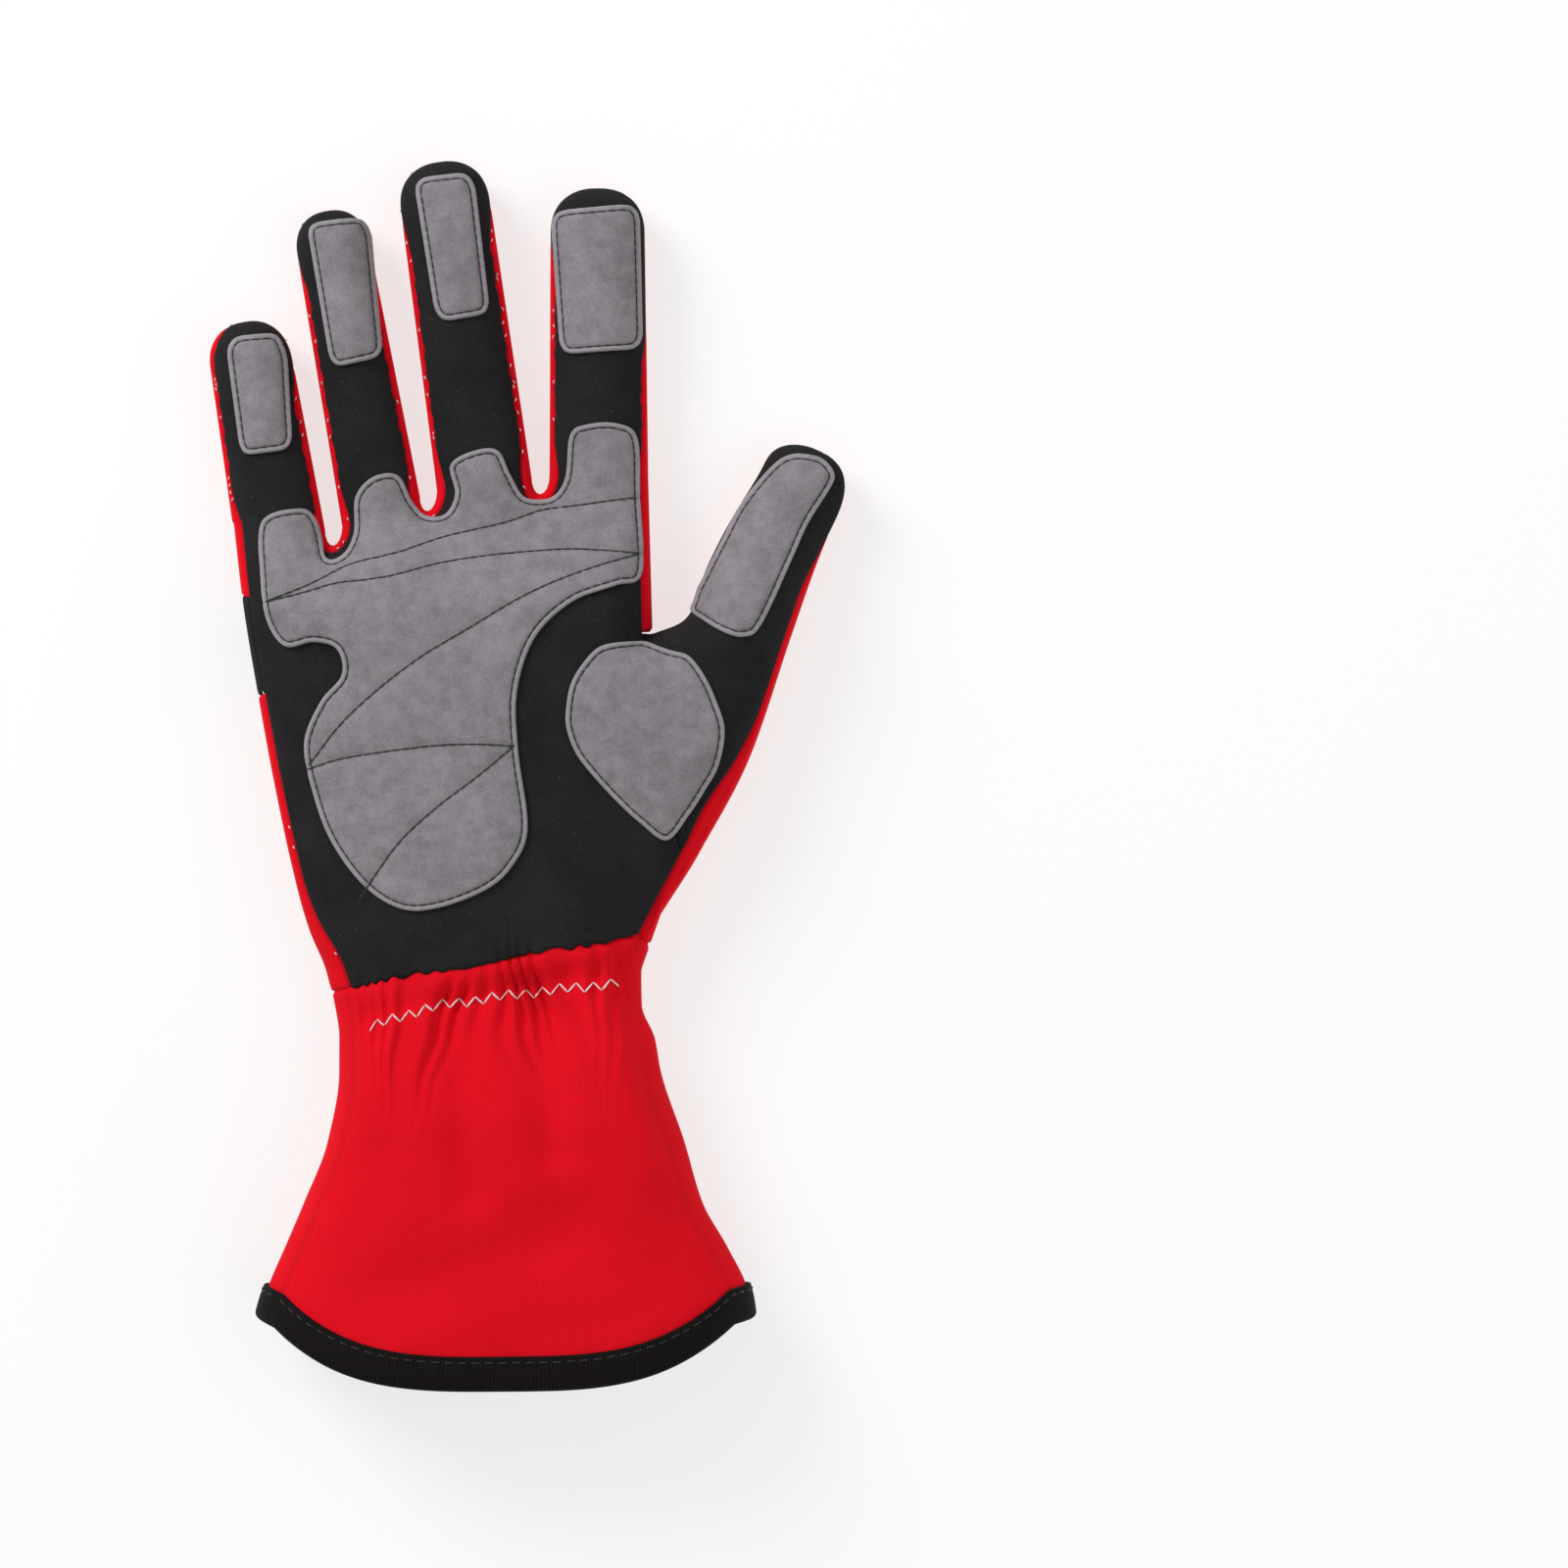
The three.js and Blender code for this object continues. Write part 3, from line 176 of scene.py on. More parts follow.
SIDES = table("at of left right", [
    (-1.25, HEM_WIDTH, -0.627, 0.502),
    (-1.0, HEM_WIDTH, -0.541, 0.459),
    (-0.93, HEM_WIDTH, -0.526, 0.45),
    (-0.8, HEM_WIDTH, -0.489, 0.408),
    (-0.67, HEM_WIDTH, -0.452, 0.359),
    (-0.48, HEM_WIDTH, -0.403, 0.321),
    (-0.27, WRIST_WIDTH, -0.62, 0.446),
    (-0.17, WRIST_WIDTH, -0.62, 0.426),
    (-0.07, WRIST_WIDTH, -0.635, 0.383),
    (0.02, WRIST_WIDTH, -0.662, 0.381),
    (0.11, PALM_WIDTH, -0.52, 0.303),
    (0.17, PALM_WIDTH, -0.541, 0.338),
    (0.41, PALM_WIDTH, -0.603, 0.62),
    (0.6, PALM_WIDTH, -0.643, 0.8),
    (0.8, PALM_WIDTH, -0.681, 1.0),
    (1.0, PALM_WIDTH, -0.709, 1.0),
])
SIDES["left"] *= SIDES["of"]
SIDES["right"] *= SIDES["of"]

WRIST_Y = -0.445 * HAND_LENGTH
KNUCKLE_Y = WRIST_Y + HAND_LENGTH


def height_of(at):
    """Height of a level: 0 at the wrist, 1 at the knuckles, -1 at the corners of the cuff."""
    return WRIST_Y + at * np.where(at < 0, CUFF_LENGTH, HAND_LENGTH)


def level_of(y):
    """Level of a height. Above the knuckles a finger's length counts as 1."""
    below, hand = (y - WRIST_Y) / CUFF_LENGTH, (y - WRIST_Y) / HAND_LENGTH
    return np.where(y < WRIST_Y, below, np.where(y < KNUCKLE_Y, hand, 1 + (y - KNUCKLE_Y) / FINGER_LENGTH))


STACK = 3 * GAP + TAB_CLOTH + STRAP_CLOTH + PILE
SECTIONS = table("at depth rim round_top round_base clear", [
    (-1.0, HEM_DEPTH, 0.46, 0.9, 0.5, 0.3),
    (-0.45, HEM_DEPTH, 0.42, 0.72, 0.45, 0.3),
    (0.0, WRIST_DEPTH, 0.52, 0.68, 0.48, 0.9),
    (0.08, WRIST_DEPTH, 0.52, 0.66, 0.48, 1.05),
    (0.27, WRIST_DEPTH, 0.5, 0.6, 0.46, 1.05),
    (0.42, PALM_DEPTH, 0.48, 0.54, 0.45, 0.75),
    (0.58, PALM_DEPTH, 0.47, 0.5, 0.42, 0),
    (0.78, PALM_DEPTH, 0.44, 0.48, 0.4, 0),
    (1.0, FINGER_DEPTH, 0.56, 0.66, 0.55, 0),
    (1.3, FINGER_DEPTH, 0.48, 0.59, 0.52, 0),
    (1.7, FINGER_DEPTH, 0.46, 0.57, 0.5, 0),
    (2.1, FINGER_DEPTH, 0.43, 0.53, 0.47, 0),
])
for share in ("rim", "round_top", "round_base"):
    SECTIONS[share] *= SECTIONS["depth"]
SECTIONS["clear"] *= STACK


def round_at(y, side):
    """How far in from the outline the rounding reaches, from the table of sections."""
    at = level_of(y)
    return np.where(side > 0, follow(SECTIONS, "round_top", at), follow(SECTIONS, "round_base", at))


ROOT_X, ROOT_Y = np.array([
    (0.0, -0.025), (0.245, -0.045), (0.471, 0.035), (0.741, 0.07), (1.0, 0.07),
]).T
KNUCKLES = np.stack([SIDES["left"][-1] + ROOT_X * PALM_WIDTH, KNUCKLE_Y + ROOT_Y * HAND_LENGTH], -1)


def finger(i, reach, lean, slim):
    """A finger between two knuckle points: its middle line and half width at its root and its tip."""
    a, b = KNUCKLES[i], KNUCKLES[i + 1]
    half = NOTCH_WIDTH / 2 / apart(a, b)
    left = mix(a, b, half if i > 0 else 0)
    right = mix(a, b, 1 - half if i < 3 else 1)
    root, width = (left + right) / 2, apart(left, right)
    lean, length = math.radians(lean), reach * FINGER_LENGTH
    along = np.array([math.sin(lean), math.cos(lean)])
    tip = root + length * along
    reach_out = slim * width / 2 * np.array([along[1], -along[0]])
    stations = table("at x y hx hy", [(0, *root, *(right - root)), (1, *tip, *reach_out)])
    tip_round = TIP_ROUND * width / length
    return {"stations": stations, "length": length, "round": tip_round, "root": root, "lean": lean}


PINKY, RING, MIDDLE, INDEX = FINGERS = [
    finger(0, 0.645, -9.7, 0.86),
    finger(1, 0.955, -10.4, 0.86),
    finger(2, 1.018, -8.0, 0.93),
    finger(3, 0.9, -0.3, 0.95),
]

CROTCH_DROP = 0.335 * HAND_LENGTH
CROTCH = KNUCKLES[-1] + [0.011 * PALM_WIDTH, -CROTCH_DROP]
THUMB_LEAN = math.radians(26)
THUMB_UP = THUMB_LENGTH * np.array([math.sin(THUMB_LEAN), math.cos(THUMB_LEAN)])
THUMB_OUT = THUMB_WIDTH * np.array([math.cos(THUMB_LEAN), -math.sin(THUMB_LEAN)])


def thumb_vector(up, out):
    """A vector of the plane from shares of the thumb's length along it and its width across it."""
    return np.multiply.outer(up, THUMB_UP) + np.multiply.outer(out, THUMB_OUT)


THUMB_ROWS = table("at up out rise spread", [
    (0.0, -0.52, 0.68, -0.52, 0.68),
    (0.16, -0.31, 0.84, -0.43, 0.6),
    (0.38, 0.02, 0.84, -0.33, 0.64),
    (0.62, 0.42, 0.76, -0.17, 0.55),
    (0.82, 0.74, 0.73, -0.07, 0.47),
    (1.0, 1.0, 0.74, 0.0, 0.5),
])
thumb_middle = CROTCH + thumb_vector(THUMB_ROWS["up"], THUMB_ROWS["out"])
thumb_half = thumb_vector(THUMB_ROWS["rise"], THUMB_ROWS["spread"])
THUMB = {
    "stations": {
        "at": THUMB_ROWS["at"],
        "x": thumb_middle[:, 0], "y": thumb_middle[:, 1], "hx": thumb_half[:, 0], "hy": thumb_half[:, 1],
    },
    "length": 1.5 * THUMB_LENGTH, "round": 0.15, "root": CROTCH, "lean": THUMB_LEAN,
}


def digit_edge(digit, hand):
    """Edge of a digit: the middle line plus its half width, closed at the tip by (1 - s^2.3)^(1/2.3)."""
    def edge(t, inset):
        at = t * (1 - inset / digit["length"])
        x, y, hx, hy = (follow(digit["stations"], c, at) for c in ("x", "y", "hx", "hy"))
        half = np.hypot(hx, hy)
        s = np.clip((t - 1 + digit["round"]) / digit["round"], 0, 1)
        cap = np.maximum(1 - s**2.3, 0) ** (1 / 2.3)
        reach = hand * np.maximum(half - inset, 0) * cap / half
        return np.stack([x + hx * reach, y + hy * reach], -1)
    return edge


def notch_edge(i):
    """Round bottom of the notch between two fingers: straight across, dropped by a half sine."""
    def edge(t, inset):
        a = digit_edge(FINGERS[i], 1)(0 * t, inset)
        b = digit_edge(FINGERS[i + 1], -1)(0 * t, inset)
        p = mix(a, b, ((1 - np.cos(t * math.pi)) / 2)[..., None])
        return p - np.stack([0 * t, (NOTCH_DEPTH + inset) * np.sin(t * math.pi)], -1)
    return edge


def side_edge(column):
    """Left or right side of hand and cuff, moved in at right angles to itself."""
    turn = 1 if column == "left" else -1

    def edge(at, inset):
        step = 0.01
        x, y = follow(SIDES, column, at), height_of(at)
        dx, dy = follow(SIDES, column, at + step) - x, height_of(at + step) - y
        shift = turn * inset / np.hypot(dx, dy)
        return np.stack([x + shift * dy, y - shift * dx], -1)
    return edge


left_edge = side_edge("left")
bare_right_edge = side_edge("right")
THUMB_ROOT = float(level_of(digit_edge(THUMB, 1)(np.array(0.0), 0.0)[1]))
ROOT_STRETCH = 14.0
RIGHT_START = THUMB_ROOT - ROOT_STRETCH / HAND_LENGTH


def right_edge(at, inset):
    """Right side up to the wrist, then straight to the thumb's root."""
    at, inset = np.broadcast_arrays(np.asarray(at, float), np.asarray(inset, float))
    share = np.clip((at - RIGHT_START) / (THUMB_ROOT - RIGHT_START), 0, 1)[..., None]
    low = bare_right_edge(np.minimum(at, RIGHT_START), inset)
    high = digit_edge(THUMB, 1)(0 * at, inset)
    return mix(low, high, share)


def index_edge(t, inset):
    """Index finger's outer root down to the thumb's crotch."""
    root = digit_edge(INDEX, 1)(np.array(0.0), 0.0)
    p = mix(root, CROTCH, np.asarray(t, float)[..., None])
    return p - np.stack([inset + 0 * t, 0 * inset + 0 * t], -1)


ROOT_LEVEL = float(level_of(KNUCKLES[0, 1]))


def outline():
    """The whole outline, clockwise from the hem's left corner round every digit to its right corner."""
    fine = 1 - (1 - np.linspace(0, 1, 90)) ** 1.6
    runs = [left_edge(np.linspace(-1.25, ROOT_LEVEL, 160), 0)]
    for i, digit in enumerate(FINGERS):
        runs += [digit_edge(digit, -1)(fine, 0), digit_edge(digit, 1)(fine, 0)[::-1]]
        if i < 3:
            runs.append(notch_edge(i)(np.linspace(0, 1, 24), 0))
    runs.append(index_edge(np.linspace(0, 1, 24), 0))
    runs += [digit_edge(THUMB, -1)(fine, 0), digit_edge(THUMB, 1)(fine, 0)[::-1]]
    runs.append(right_edge(np.linspace(THUMB_ROOT, -1.25, 120), 0))
    points = np.concatenate(runs)
    return points[np.concatenate([[True], apart(points[:-1], points[1:]) > 1e-3])]


OUTLINE = outline()


def nearest(p, line, chunk=3000):
    """Distance from each point to a polyline, the foot's place along it, the side, positive to its right, and
    the direction away from it."""
    a, e = line[:-1], np.diff(line, axis=0)
    square = (e * e).sum(1)
    starts = np.concatenate([[0], np.cumsum(np.sqrt(square))])[:-1]
    flat = p.reshape(-1, p.shape[-1])
    distance, along, hand = np.empty(len(flat)), np.empty(len(flat)), np.empty(len(flat))
    inward = np.empty((len(flat), 2))
    for k in range(0, len(flat), chunk):
        q = flat[k:k + chunk, None] - a
        t = np.clip((q * e).sum(-1) / square, 0, 1)
        gap = q - t[..., None] * e
        found = (gap * gap).sum(-1)
        best = found.argmin(1)
        row = np.arange(len(best))
        distance[k:k + chunk] = np.sqrt(found[row, best])
        along[k:k + chunk] = starts[best] + t[row, best] * np.sqrt(square[best])
        hand[k:k + chunk] = np.sign(q[row, best, 0] * e[best, 1] - q[row, best, 1] * e[best, 0])
        normal = np.stack([e[best, 1], -e[best, 0]], -1) / np.sqrt(square[best])[:, None]
        away = gap[row, best, :2] / np.maximum(distance[k:k + chunk], 1e-9)[:, None]
        inward[k:k + chunk] = np.where(distance[k:k + chunk, None] < 0.3, normal, away)
    shape = p.shape[:-1]
    return distance.reshape(shape), along.reshape(shape), hand.reshape(shape), inward.reshape(*shape, 2)


# The skin

ELASTIC_DROP = 7.5
GATHER_HEIGHT = 1.25
GATHER_PITCH = 4.9
PLEAT_HEIGHT = 0.6
PINCH_DEPTH = 1.4
FOLD_STRENGTH = 1.5
STATED_BAND, STATED_FADE = 1.2, 2.0
HEEL_LEFT_AT, HEEL_LEFT_INSET = -0.03, 5.2
HEEL_DROP = 7.5
HEEL_RIGHT_AT, HEEL_RIGHT_INSET = THUMB_ROOT - HEEL_DROP / HAND_LENGTH, 4.6
heel_left = left_edge(np.array(HEEL_LEFT_AT), HEEL_LEFT_INSET)
heel_right = right_edge(np.array(HEEL_RIGHT_AT), HEEL_RIGHT_INSET)

FOLDS = table("x0 y0 x1 y1 width height", [
    (-0.14, 0.1, -0.1, 0.62, 0.17, -0.045),
    (0.02, 0.08, 0.06, 0.5, 0.14, -0.04),
    (-0.27, 0.12, -0.4, 0.7, 0.2, 0.04),
    (0.17, 0.1, 0.27, 0.55, 0.15, 0.035),
    (-0.3, 0.95, 0.1, 0.72, 0.28, -0.04),
    (0.2, 0.02, 0.3, 0.5, 0.075, -0.035),
    (0.3, 0.5, 0.415, 0.86, 0.1, -0.035),
    (-0.33, 0.0, -0.3, 0.16, 0.06, -0.03),
])


def elastic(x, y):
    """Share across the wrist elastic and the height above its middle line."""
    t = (x - heel_left[0]) / (heel_right[0] - heel_left[0])
    return t, y - mix(heel_left[1], heel_right[1], t) + ELASTIC_DROP


def relief(x, y):
    """Gathers, pleats, pinch and folds on the palm side: a cosine of uneven pitch and seeded waves that die
    away from the elastic, a groove along the elastic and a bell across each fold."""
    t, off = elastic(x, y)
    reach = np.where(off > 0, 1.15, 2.4) * ELASTIC_DROP
    inside = smooth((t + 0.02) / 0.1) * smooth((1.02 - t) / 0.1)
    slant = x + 0.3 * off * np.sin(x / 9.0 + 0.8) + 0.5 * np.sin(off / 3.1 + x / 5.0)
    phase = slant / GATHER_PITCH + 0.55 * np.sin(slant / 6.3 + 0.6) + 0.25 * np.sin(slant / 2.9)
    uneven = 0.85 + 0.3 * np.sin(x / 7.1 + 1.0) * np.cos(off / 9.0 + x / 13.0)
    ruffle = uneven * np.cos(math.tau * phase) * bell(off / (reach * (0.85 + 0.3 * np.sin(x / 4.3 + 2.0))))
    below = smooth(-off / 3)
    long_pleats = PLEAT_HEIGHT * ripple(slant / 1.1, 0.22 * off, 21, 13.0) * bell(off / 24) * below
    pinch = -PINCH_DEPTH * bell(off / (0.36 * ELASTIC_DROP))
    total = (GATHER_HEIGHT * ruffle + pinch + long_pleats) * inside
    for x0, y0, x1, y1, width, height in zip(*FOLDS.values()):
        a = np.array([x0 * HEM_WIDTH, WRIST_Y - y0 * CUFF_LENGTH])
        b = np.array([x1 * HEM_WIDTH, WRIST_Y - y1 * CUFF_LENGTH])
        run = np.clip(((x - a[0]) * (b[0] - a[0]) + (y - a[1]) * (b[1] - a[1])) / apart(a, b) ** 2, 0, 1)
        away = np.hypot(x - mix(a[0], b[0], run), y - mix(a[1], b[1], run)) / (width * HEM_DEPTH)
        total = total + FOLD_STRENGTH * height * HEM_DEPTH * bell(away)
    return total


def softness(x, y, side):
    """Slight unevenness of empty cloth: seeded waves of three sizes, the longest weaker on the back."""
    both_sides = 0.22 * ripple(x, y, 5, 38) + 0.1 * ripple(x, y, 9, 15)
    return both_sides + np.where(side > 0, 0.12, 0.03) * ripple(x, y, 3, 70)


def skin(p, side=PALM, soft=True):
    """The skin's place and outward normal over rows (x, y, inset, side): a quarter ellipse rises from the rim
    over the distance in from the outline, with a crown, the relief and the softness on top. A stated inset
    counts near the edge, and further in it gives way to the true distance."""
    x, y = p[..., 0], p[..., 1]
    distance, _, _, inward = nearest(p[..., :2], OUTLINE)
    stated = p[..., 2]
    further_in = smooth((stated - STATED_BAND) / STATED_FADE)
    inset = np.where(np.isnan(stated), distance, mix(stated, distance, further_in))
    side = np.where(np.isnan(p[..., 3]), side, p[..., 3])
    at = level_of(y)
    rim = follow(SECTIONS, "rim", at)
    height = np.where(side > 0, follow(SECTIONS, "depth", at) - rim, rim - follow(SECTIONS, "clear", at))
    radius = round_at(y, side)
    q = np.minimum(inset / radius, 1)
    rise = np.sqrt(np.maximum(1 - (1 - q) ** 2, 0))
    crown = PALM_CROWN * (1 - bell(inset / (0.25 * PALM_WIDTH)))
    swell = np.where(side > 0, crown + rise * relief(x, y), 0)
    if soft:
        lift = rise**3 * softness(x, y, side)
        swell = swell + np.where(side > 0, lift, np.maximum(lift, 0))
    lean = (1 - q) / radius
    normal = np.stack([-inward[..., 0] * lean, -inward[..., 1] * lean, side * rise / height], -1)
    normal /= np.linalg.norm(normal, axis=-1, keepdims=True)
    return np.stack([x, y, rim + side * height * rise + swell], -1), normal


# Runs of places on the outline, seams and rows

class Run:
    """Places along the outline: parts of (edge, t, fade, wrap). fade is 0 along the glove and 1 round a
    fingertip, where every seam is on the very edge, and wrap is the inset of the palm seam."""

    def __init__(self, parts):
        self.parts = [
            (e, t, np.broadcast_to(f, t.shape), np.broadcast_to(w, t.shape)) for e, t, f, w in parts
        ]

    def __len__(self):
        return sum(len(t) for _, t, _, _ in self.parts)

    def __add__(self, other):
        return Run(self.parts + other.parts)

    def flipped(self):
        return Run([(e, t[::-1], f[::-1], w[::-1]) for e, t, f, w in reversed(self.parts)])

    def cut(self, first, last):
        start, parts = 0, []
        for e, t, f, w in self.parts:
            keep = slice(max(first - start, 0), max(last - start, 0))
            if len(t[keep]):
                parts.append((e, t[keep], f[keep], w[keep]))
            start += len(t)
        return Run(parts)

    def at(self, inset):
        inset = np.asarray(inset, float) * np.ones(len(self))
        start, runs = 0, []
        for e, t, _, _ in self.parts:
            runs.append(e(t + 0 * inset[..., start:start + len(t)], inset[..., start:start + len(t)]))
            start += len(t)
        return np.concatenate(runs, -2)

    @property
    def fade(self):
        return np.concatenate([f for _, _, f, _ in self.parts])

    @property
    def wrap(self):
        return np.concatenate([w for _, _, _, w in self.parts])


def rim_rows(run, turn):
    """Rows (x, y, inset, side) at an angle round the edge: inset = round (1 - cos turn)."""
    y = run.at(0)[..., 1]
    side = np.where(turn < 0, BACK, PALM) * np.ones(len(run))
    inset = round_at(y, side) * (1 - np.cos(turn))
    return np.concatenate([run.at(inset), inset[..., None], side[..., None] + 0 * inset[..., None]], -1)


def shifted(run, turn, shift):
    """A turn round the edge, moved on by a length."""
    return turn + shift / round_at(run.at(0)[..., 1], np.where(turn < 0, BACK, PALM))


def seam_turn(run, side, inset, shift):
    """Turn at which a seam lies at an inset: arccos(1 - inset / round), 0 where the seam fades."""
    turn = side * np.arccos(1 - inset / round_at(run.at(0)[..., 1], side))
    return shifted(run, turn * (1 - run.fade), shift)


def palm_turn(run, shift):
    """Turn of the seam between the palm and the red sides."""
    return seam_turn(run, PALM, run.wrap, shift)


def back_turn(run, shift):
    """Turn of the seam between a gusset and a finger's back."""
    return seam_turn(run, BACK, BACK_SEAM, shift)


def flat_turn(run):
    """Turn at which a wrapped side ends on the back, 0 where the seam fades."""
    return shifted(run, -BACK_TURN * (1 - run.fade), -HALF_GAP * run.fade)


def palm_seam(run, shift=HALF_GAP):
    return rim_rows(run, palm_turn(run, shift))


def back_seam(run):
    return rim_rows(run, back_turn(run, -HALF_GAP))


def back_flat(run):
    return rim_rows(run, flat_turn(run))


def edge_seam(run, shift):
    """Rows on the very edge, moved by a length."""
    return rim_rows(run, shifted(run, np.zeros(len(run)), shift))


def strip(run, first, last, rows=RIM_ROWS):
    """Rows round the edge, from each place's first turn to its last."""
    s = np.linspace(0, 1, rows + 1)[:, None]
    return rim_rows(run, mix(first, last, s))


def wrap_strip(run):
    """Rows of a side that wraps from the palm seam on to the back."""
    return strip(run, palm_turn(run, -HALF_GAP), flat_turn(run))


def free(xy):
    """Rows with inset and side left open."""
    return np.concatenate([xy, np.full(xy.shape[:-1] + (2,), NAN)], -1)


def spread(a, b, share):
    """Rows from a to b at the given shares; where both ends are one point, that point repeated."""
    rows = free(mix(a[..., None, :2], b[..., None, :2], share[:, None]))
    rows[..., 0, :], rows[..., -1, :] = a, b
    closed = apart(a, b) < 1e-6
    return np.where(closed[..., None, None], a[..., None, :], rows)


def evenly(a, b, columns):
    """Rows from a to b in even steps."""
    return spread(a, b, np.linspace(0, 1, columns + 1))


def across(a, b, columns):
    """As evenly, but closer together near the ends."""
    return spread(a, b, (1 - np.cos(np.linspace(0, math.pi, columns + 1))) / 2)


def spread_line(a, b, steps):
    """One row from point a to point b in even steps."""
    return evenly(a[None], b[None], steps)[0]


def moved(rows, x):
    """The same rows, moved along x."""
    out = rows.copy()
    out[..., 0] += x
    return out


def between_edges(bottom, top, left, right):
    """Rows between four edges: the two ruled surfaces added, and the one between the corners taken off."""
    def shares(row):
        sums = np.concatenate([[0], np.cumsum(apart(row[:-1], row[1:]))])
        return sums / sums[-1]
    v0 = np.linspace(0, 1, len(left))[:, None]
    u = mix(shares(bottom), shares(top), v0)[..., None]
    v = mix(shares(left)[:, None], shares(right)[:, None], u[..., 0])[..., None]
    b, t, l, r = (row[:, :2] for row in (bottom, top, left, right))
    rows = free(
        mix(b, t, v) + mix(l[:, None], r[:, None], u) - mix(mix(b[0], b[-1], u), mix(t[0], t[-1], u), v)
    )
    rows[:, 0], rows[:, -1], rows[0], rows[-1] = left, right, bottom, top
    return rows


def digit_steps(digit):
    """Steps up a digit: even along it, and by a sine round its tip."""
    tip = digit["round"]
    body = np.linspace(0, 1 - tip, FINGER_ROWS + 1)
    return np.concatenate([body, 1 - tip * (1 - np.sin(np.linspace(0, math.pi / 2, TIP_ROWS + 1)[1:]))])


def digit_run(digit, hand, t=None, wrap=None):
    """Run up one side of a digit. The seam wavers a little, and lies on the very edge round the tip. On the
    index finger's outer side it reaches the edge from halfway up, and on the pinky's only at the tip."""
    t = digit_steps(digit) if t is None else t
    fade = smooth((t - 1 + 2 * digit["round"]) / digit["round"])
    if digit is INDEX and hand > 0:
        fade = np.maximum(fade, smooth((t - 0.34) / 0.2))
    if digit is PINKY and hand < 0:
        fade = smooth((t - 0.95) / 0.05)
    if wrap is None:
        along = t * digit["length"]
        waver = 0.14 * np.sin(along * 1.37 + digit["root"][0]) + 0.12 * np.sin(along * 0.61 + 2 * hand)
        wrap = mix(PALM_SEAM, FINGER_SEAM, smooth(t / 0.12)) + waver * smooth(t / 0.2)
    return Run([(digit_edge(digit, hand), t, fade, wrap)])


left_share = np.linspace(0, 1, HAND_ROWS + 1)
left_run = Run([(
    left_edge, mix(HEEL_LEFT_AT, ROOT_LEVEL, left_share[:-1]), 0,
    mix(HEEL_LEFT_INSET, PALM_SEAM, smooth(left_share[:-1] / 0.25)),
)]) + digit_run(PINKY, -1, np.zeros(1))
index_share = np.linspace(0, 1 - 2 * GAP / CROTCH_DROP, INDEX_SIDE_ROWS + 1)
index_run = digit_run(INDEX, 1, np.zeros(1)) + Run([(index_edge, index_share[1:], 0, PALM_SEAM)])

WRAP = table("at inset", [
    (0.0, 4.6), (0.08, 6.1), (0.14, 7.2), (0.19, 8.0), (0.245, 7.5), (0.29, 6.6), (0.33, 5.5), (0.38, 4.5),
    (0.425, 3.6), (0.47, 2.4), (0.53, 2.0), (0.66, 1.7), (0.8, 1.4), (1.0, 1.5),
])
WRAP_START = 0.1
thumb_steps = digit_steps(THUMB)
thumb_low = np.linspace(0, WRAP_START, 9)
thumb_high = thumb_steps[thumb_steps > WRAP_START + 0.01]
thumb_places = np.concatenate([thumb_low, thumb_high])
low_share = np.linspace(0, 1, OUTER_ROWS - 7)[:-1]
low_wrap = mix(HEEL_RIGHT_INSET, WRAP["inset"][0], smooth(low_share))
outer_run = Run([(right_edge, mix(HEEL_RIGHT_AT, THUMB_ROOT, low_share), 0, low_wrap)]) + digit_run(
    THUMB, 1, thumb_places, follow(WRAP, "inset", thumb_places),
)
inner_run = digit_run(THUMB, -1, thumb_places)

wrap_corner = palm_seam(outer_run)[OUTER_ROWS]
THUMB_SEAM_BOW = 0.03


def thumb_seam(shift):
    """Seam from the crotch to where the red outer side begins, bowed by a half sine."""
    t = np.linspace(0, 1, THUMB_SEAM_ROWS + 1)
    start = CROTCH - [PALM_SEAM, 0]
    bow = shift - THUMB_SEAM_BOW * THUMB_LENGTH * np.sin(t * math.pi)
    rows = free(mix(start, wrap_corner[:2], t[:, None]) + np.stack([bow, 0 * t], -1))
    rows[-1, 2:] = wrap_corner[2:]
    return rows


side_end = back_flat(outer_run)[0]
side_top = np.array([back_flat(index_run)[-1, 0] + GAP, CROTCH[1]])


def side_seam(t):
    """Straight seam on the back, from the thumb's crotch down to the side."""
    return free(mix(side_top, side_end[:2], np.asarray(t, float)[..., None]))


def notch_run(i):
    """Run round the bottom of a notch, without its ends."""
    return Run([(notch_edge(i), np.linspace(0, 1, NOTCH_COLUMNS + 1)[1:-1], 0, PALM_SEAM)])


# Cloth coordinates in mm: ribs run along v. A digit's pattern is turned with it about its root.

def flat_uv(grid):
    """Cloth coordinates that are the place in the plane."""
    return grid[..., :2].copy()


def digit_uv(digit, grid):
    """The place in the plane, turned by the digit's lean about its root."""
    c, s = math.cos(digit["lean"]), math.sin(digit["lean"])
    x, y = grid[..., 0] - digit["root"][0], grid[..., 1] - digit["root"][1]
    return np.stack([c * x - s * y, s * x + c * y], -1) + digit["root"]


def strip_uv(grid, start):
    """v along the edge, u round it, as lengths in mm."""
    along = np.concatenate([[0], np.cumsum(apart(grid[0, :-1], grid[0, 1:]))])
    place, _ = skin(grid, soft=False)
    step = np.linalg.norm(np.diff(place, axis=0), axis=-1).mean(1)
    around = np.concatenate([[0], np.cumsum(step)])
    return np.stack(np.broadcast_arrays(start + around[:, None], along[None]), -1)


def grid(rows, side=PALM, uv=None):
    """Rows of one surface with their side and cloth coordinates."""
    return {"rows": rows, "side": side, "uv": flat_uv(rows) if uv is None else uv}


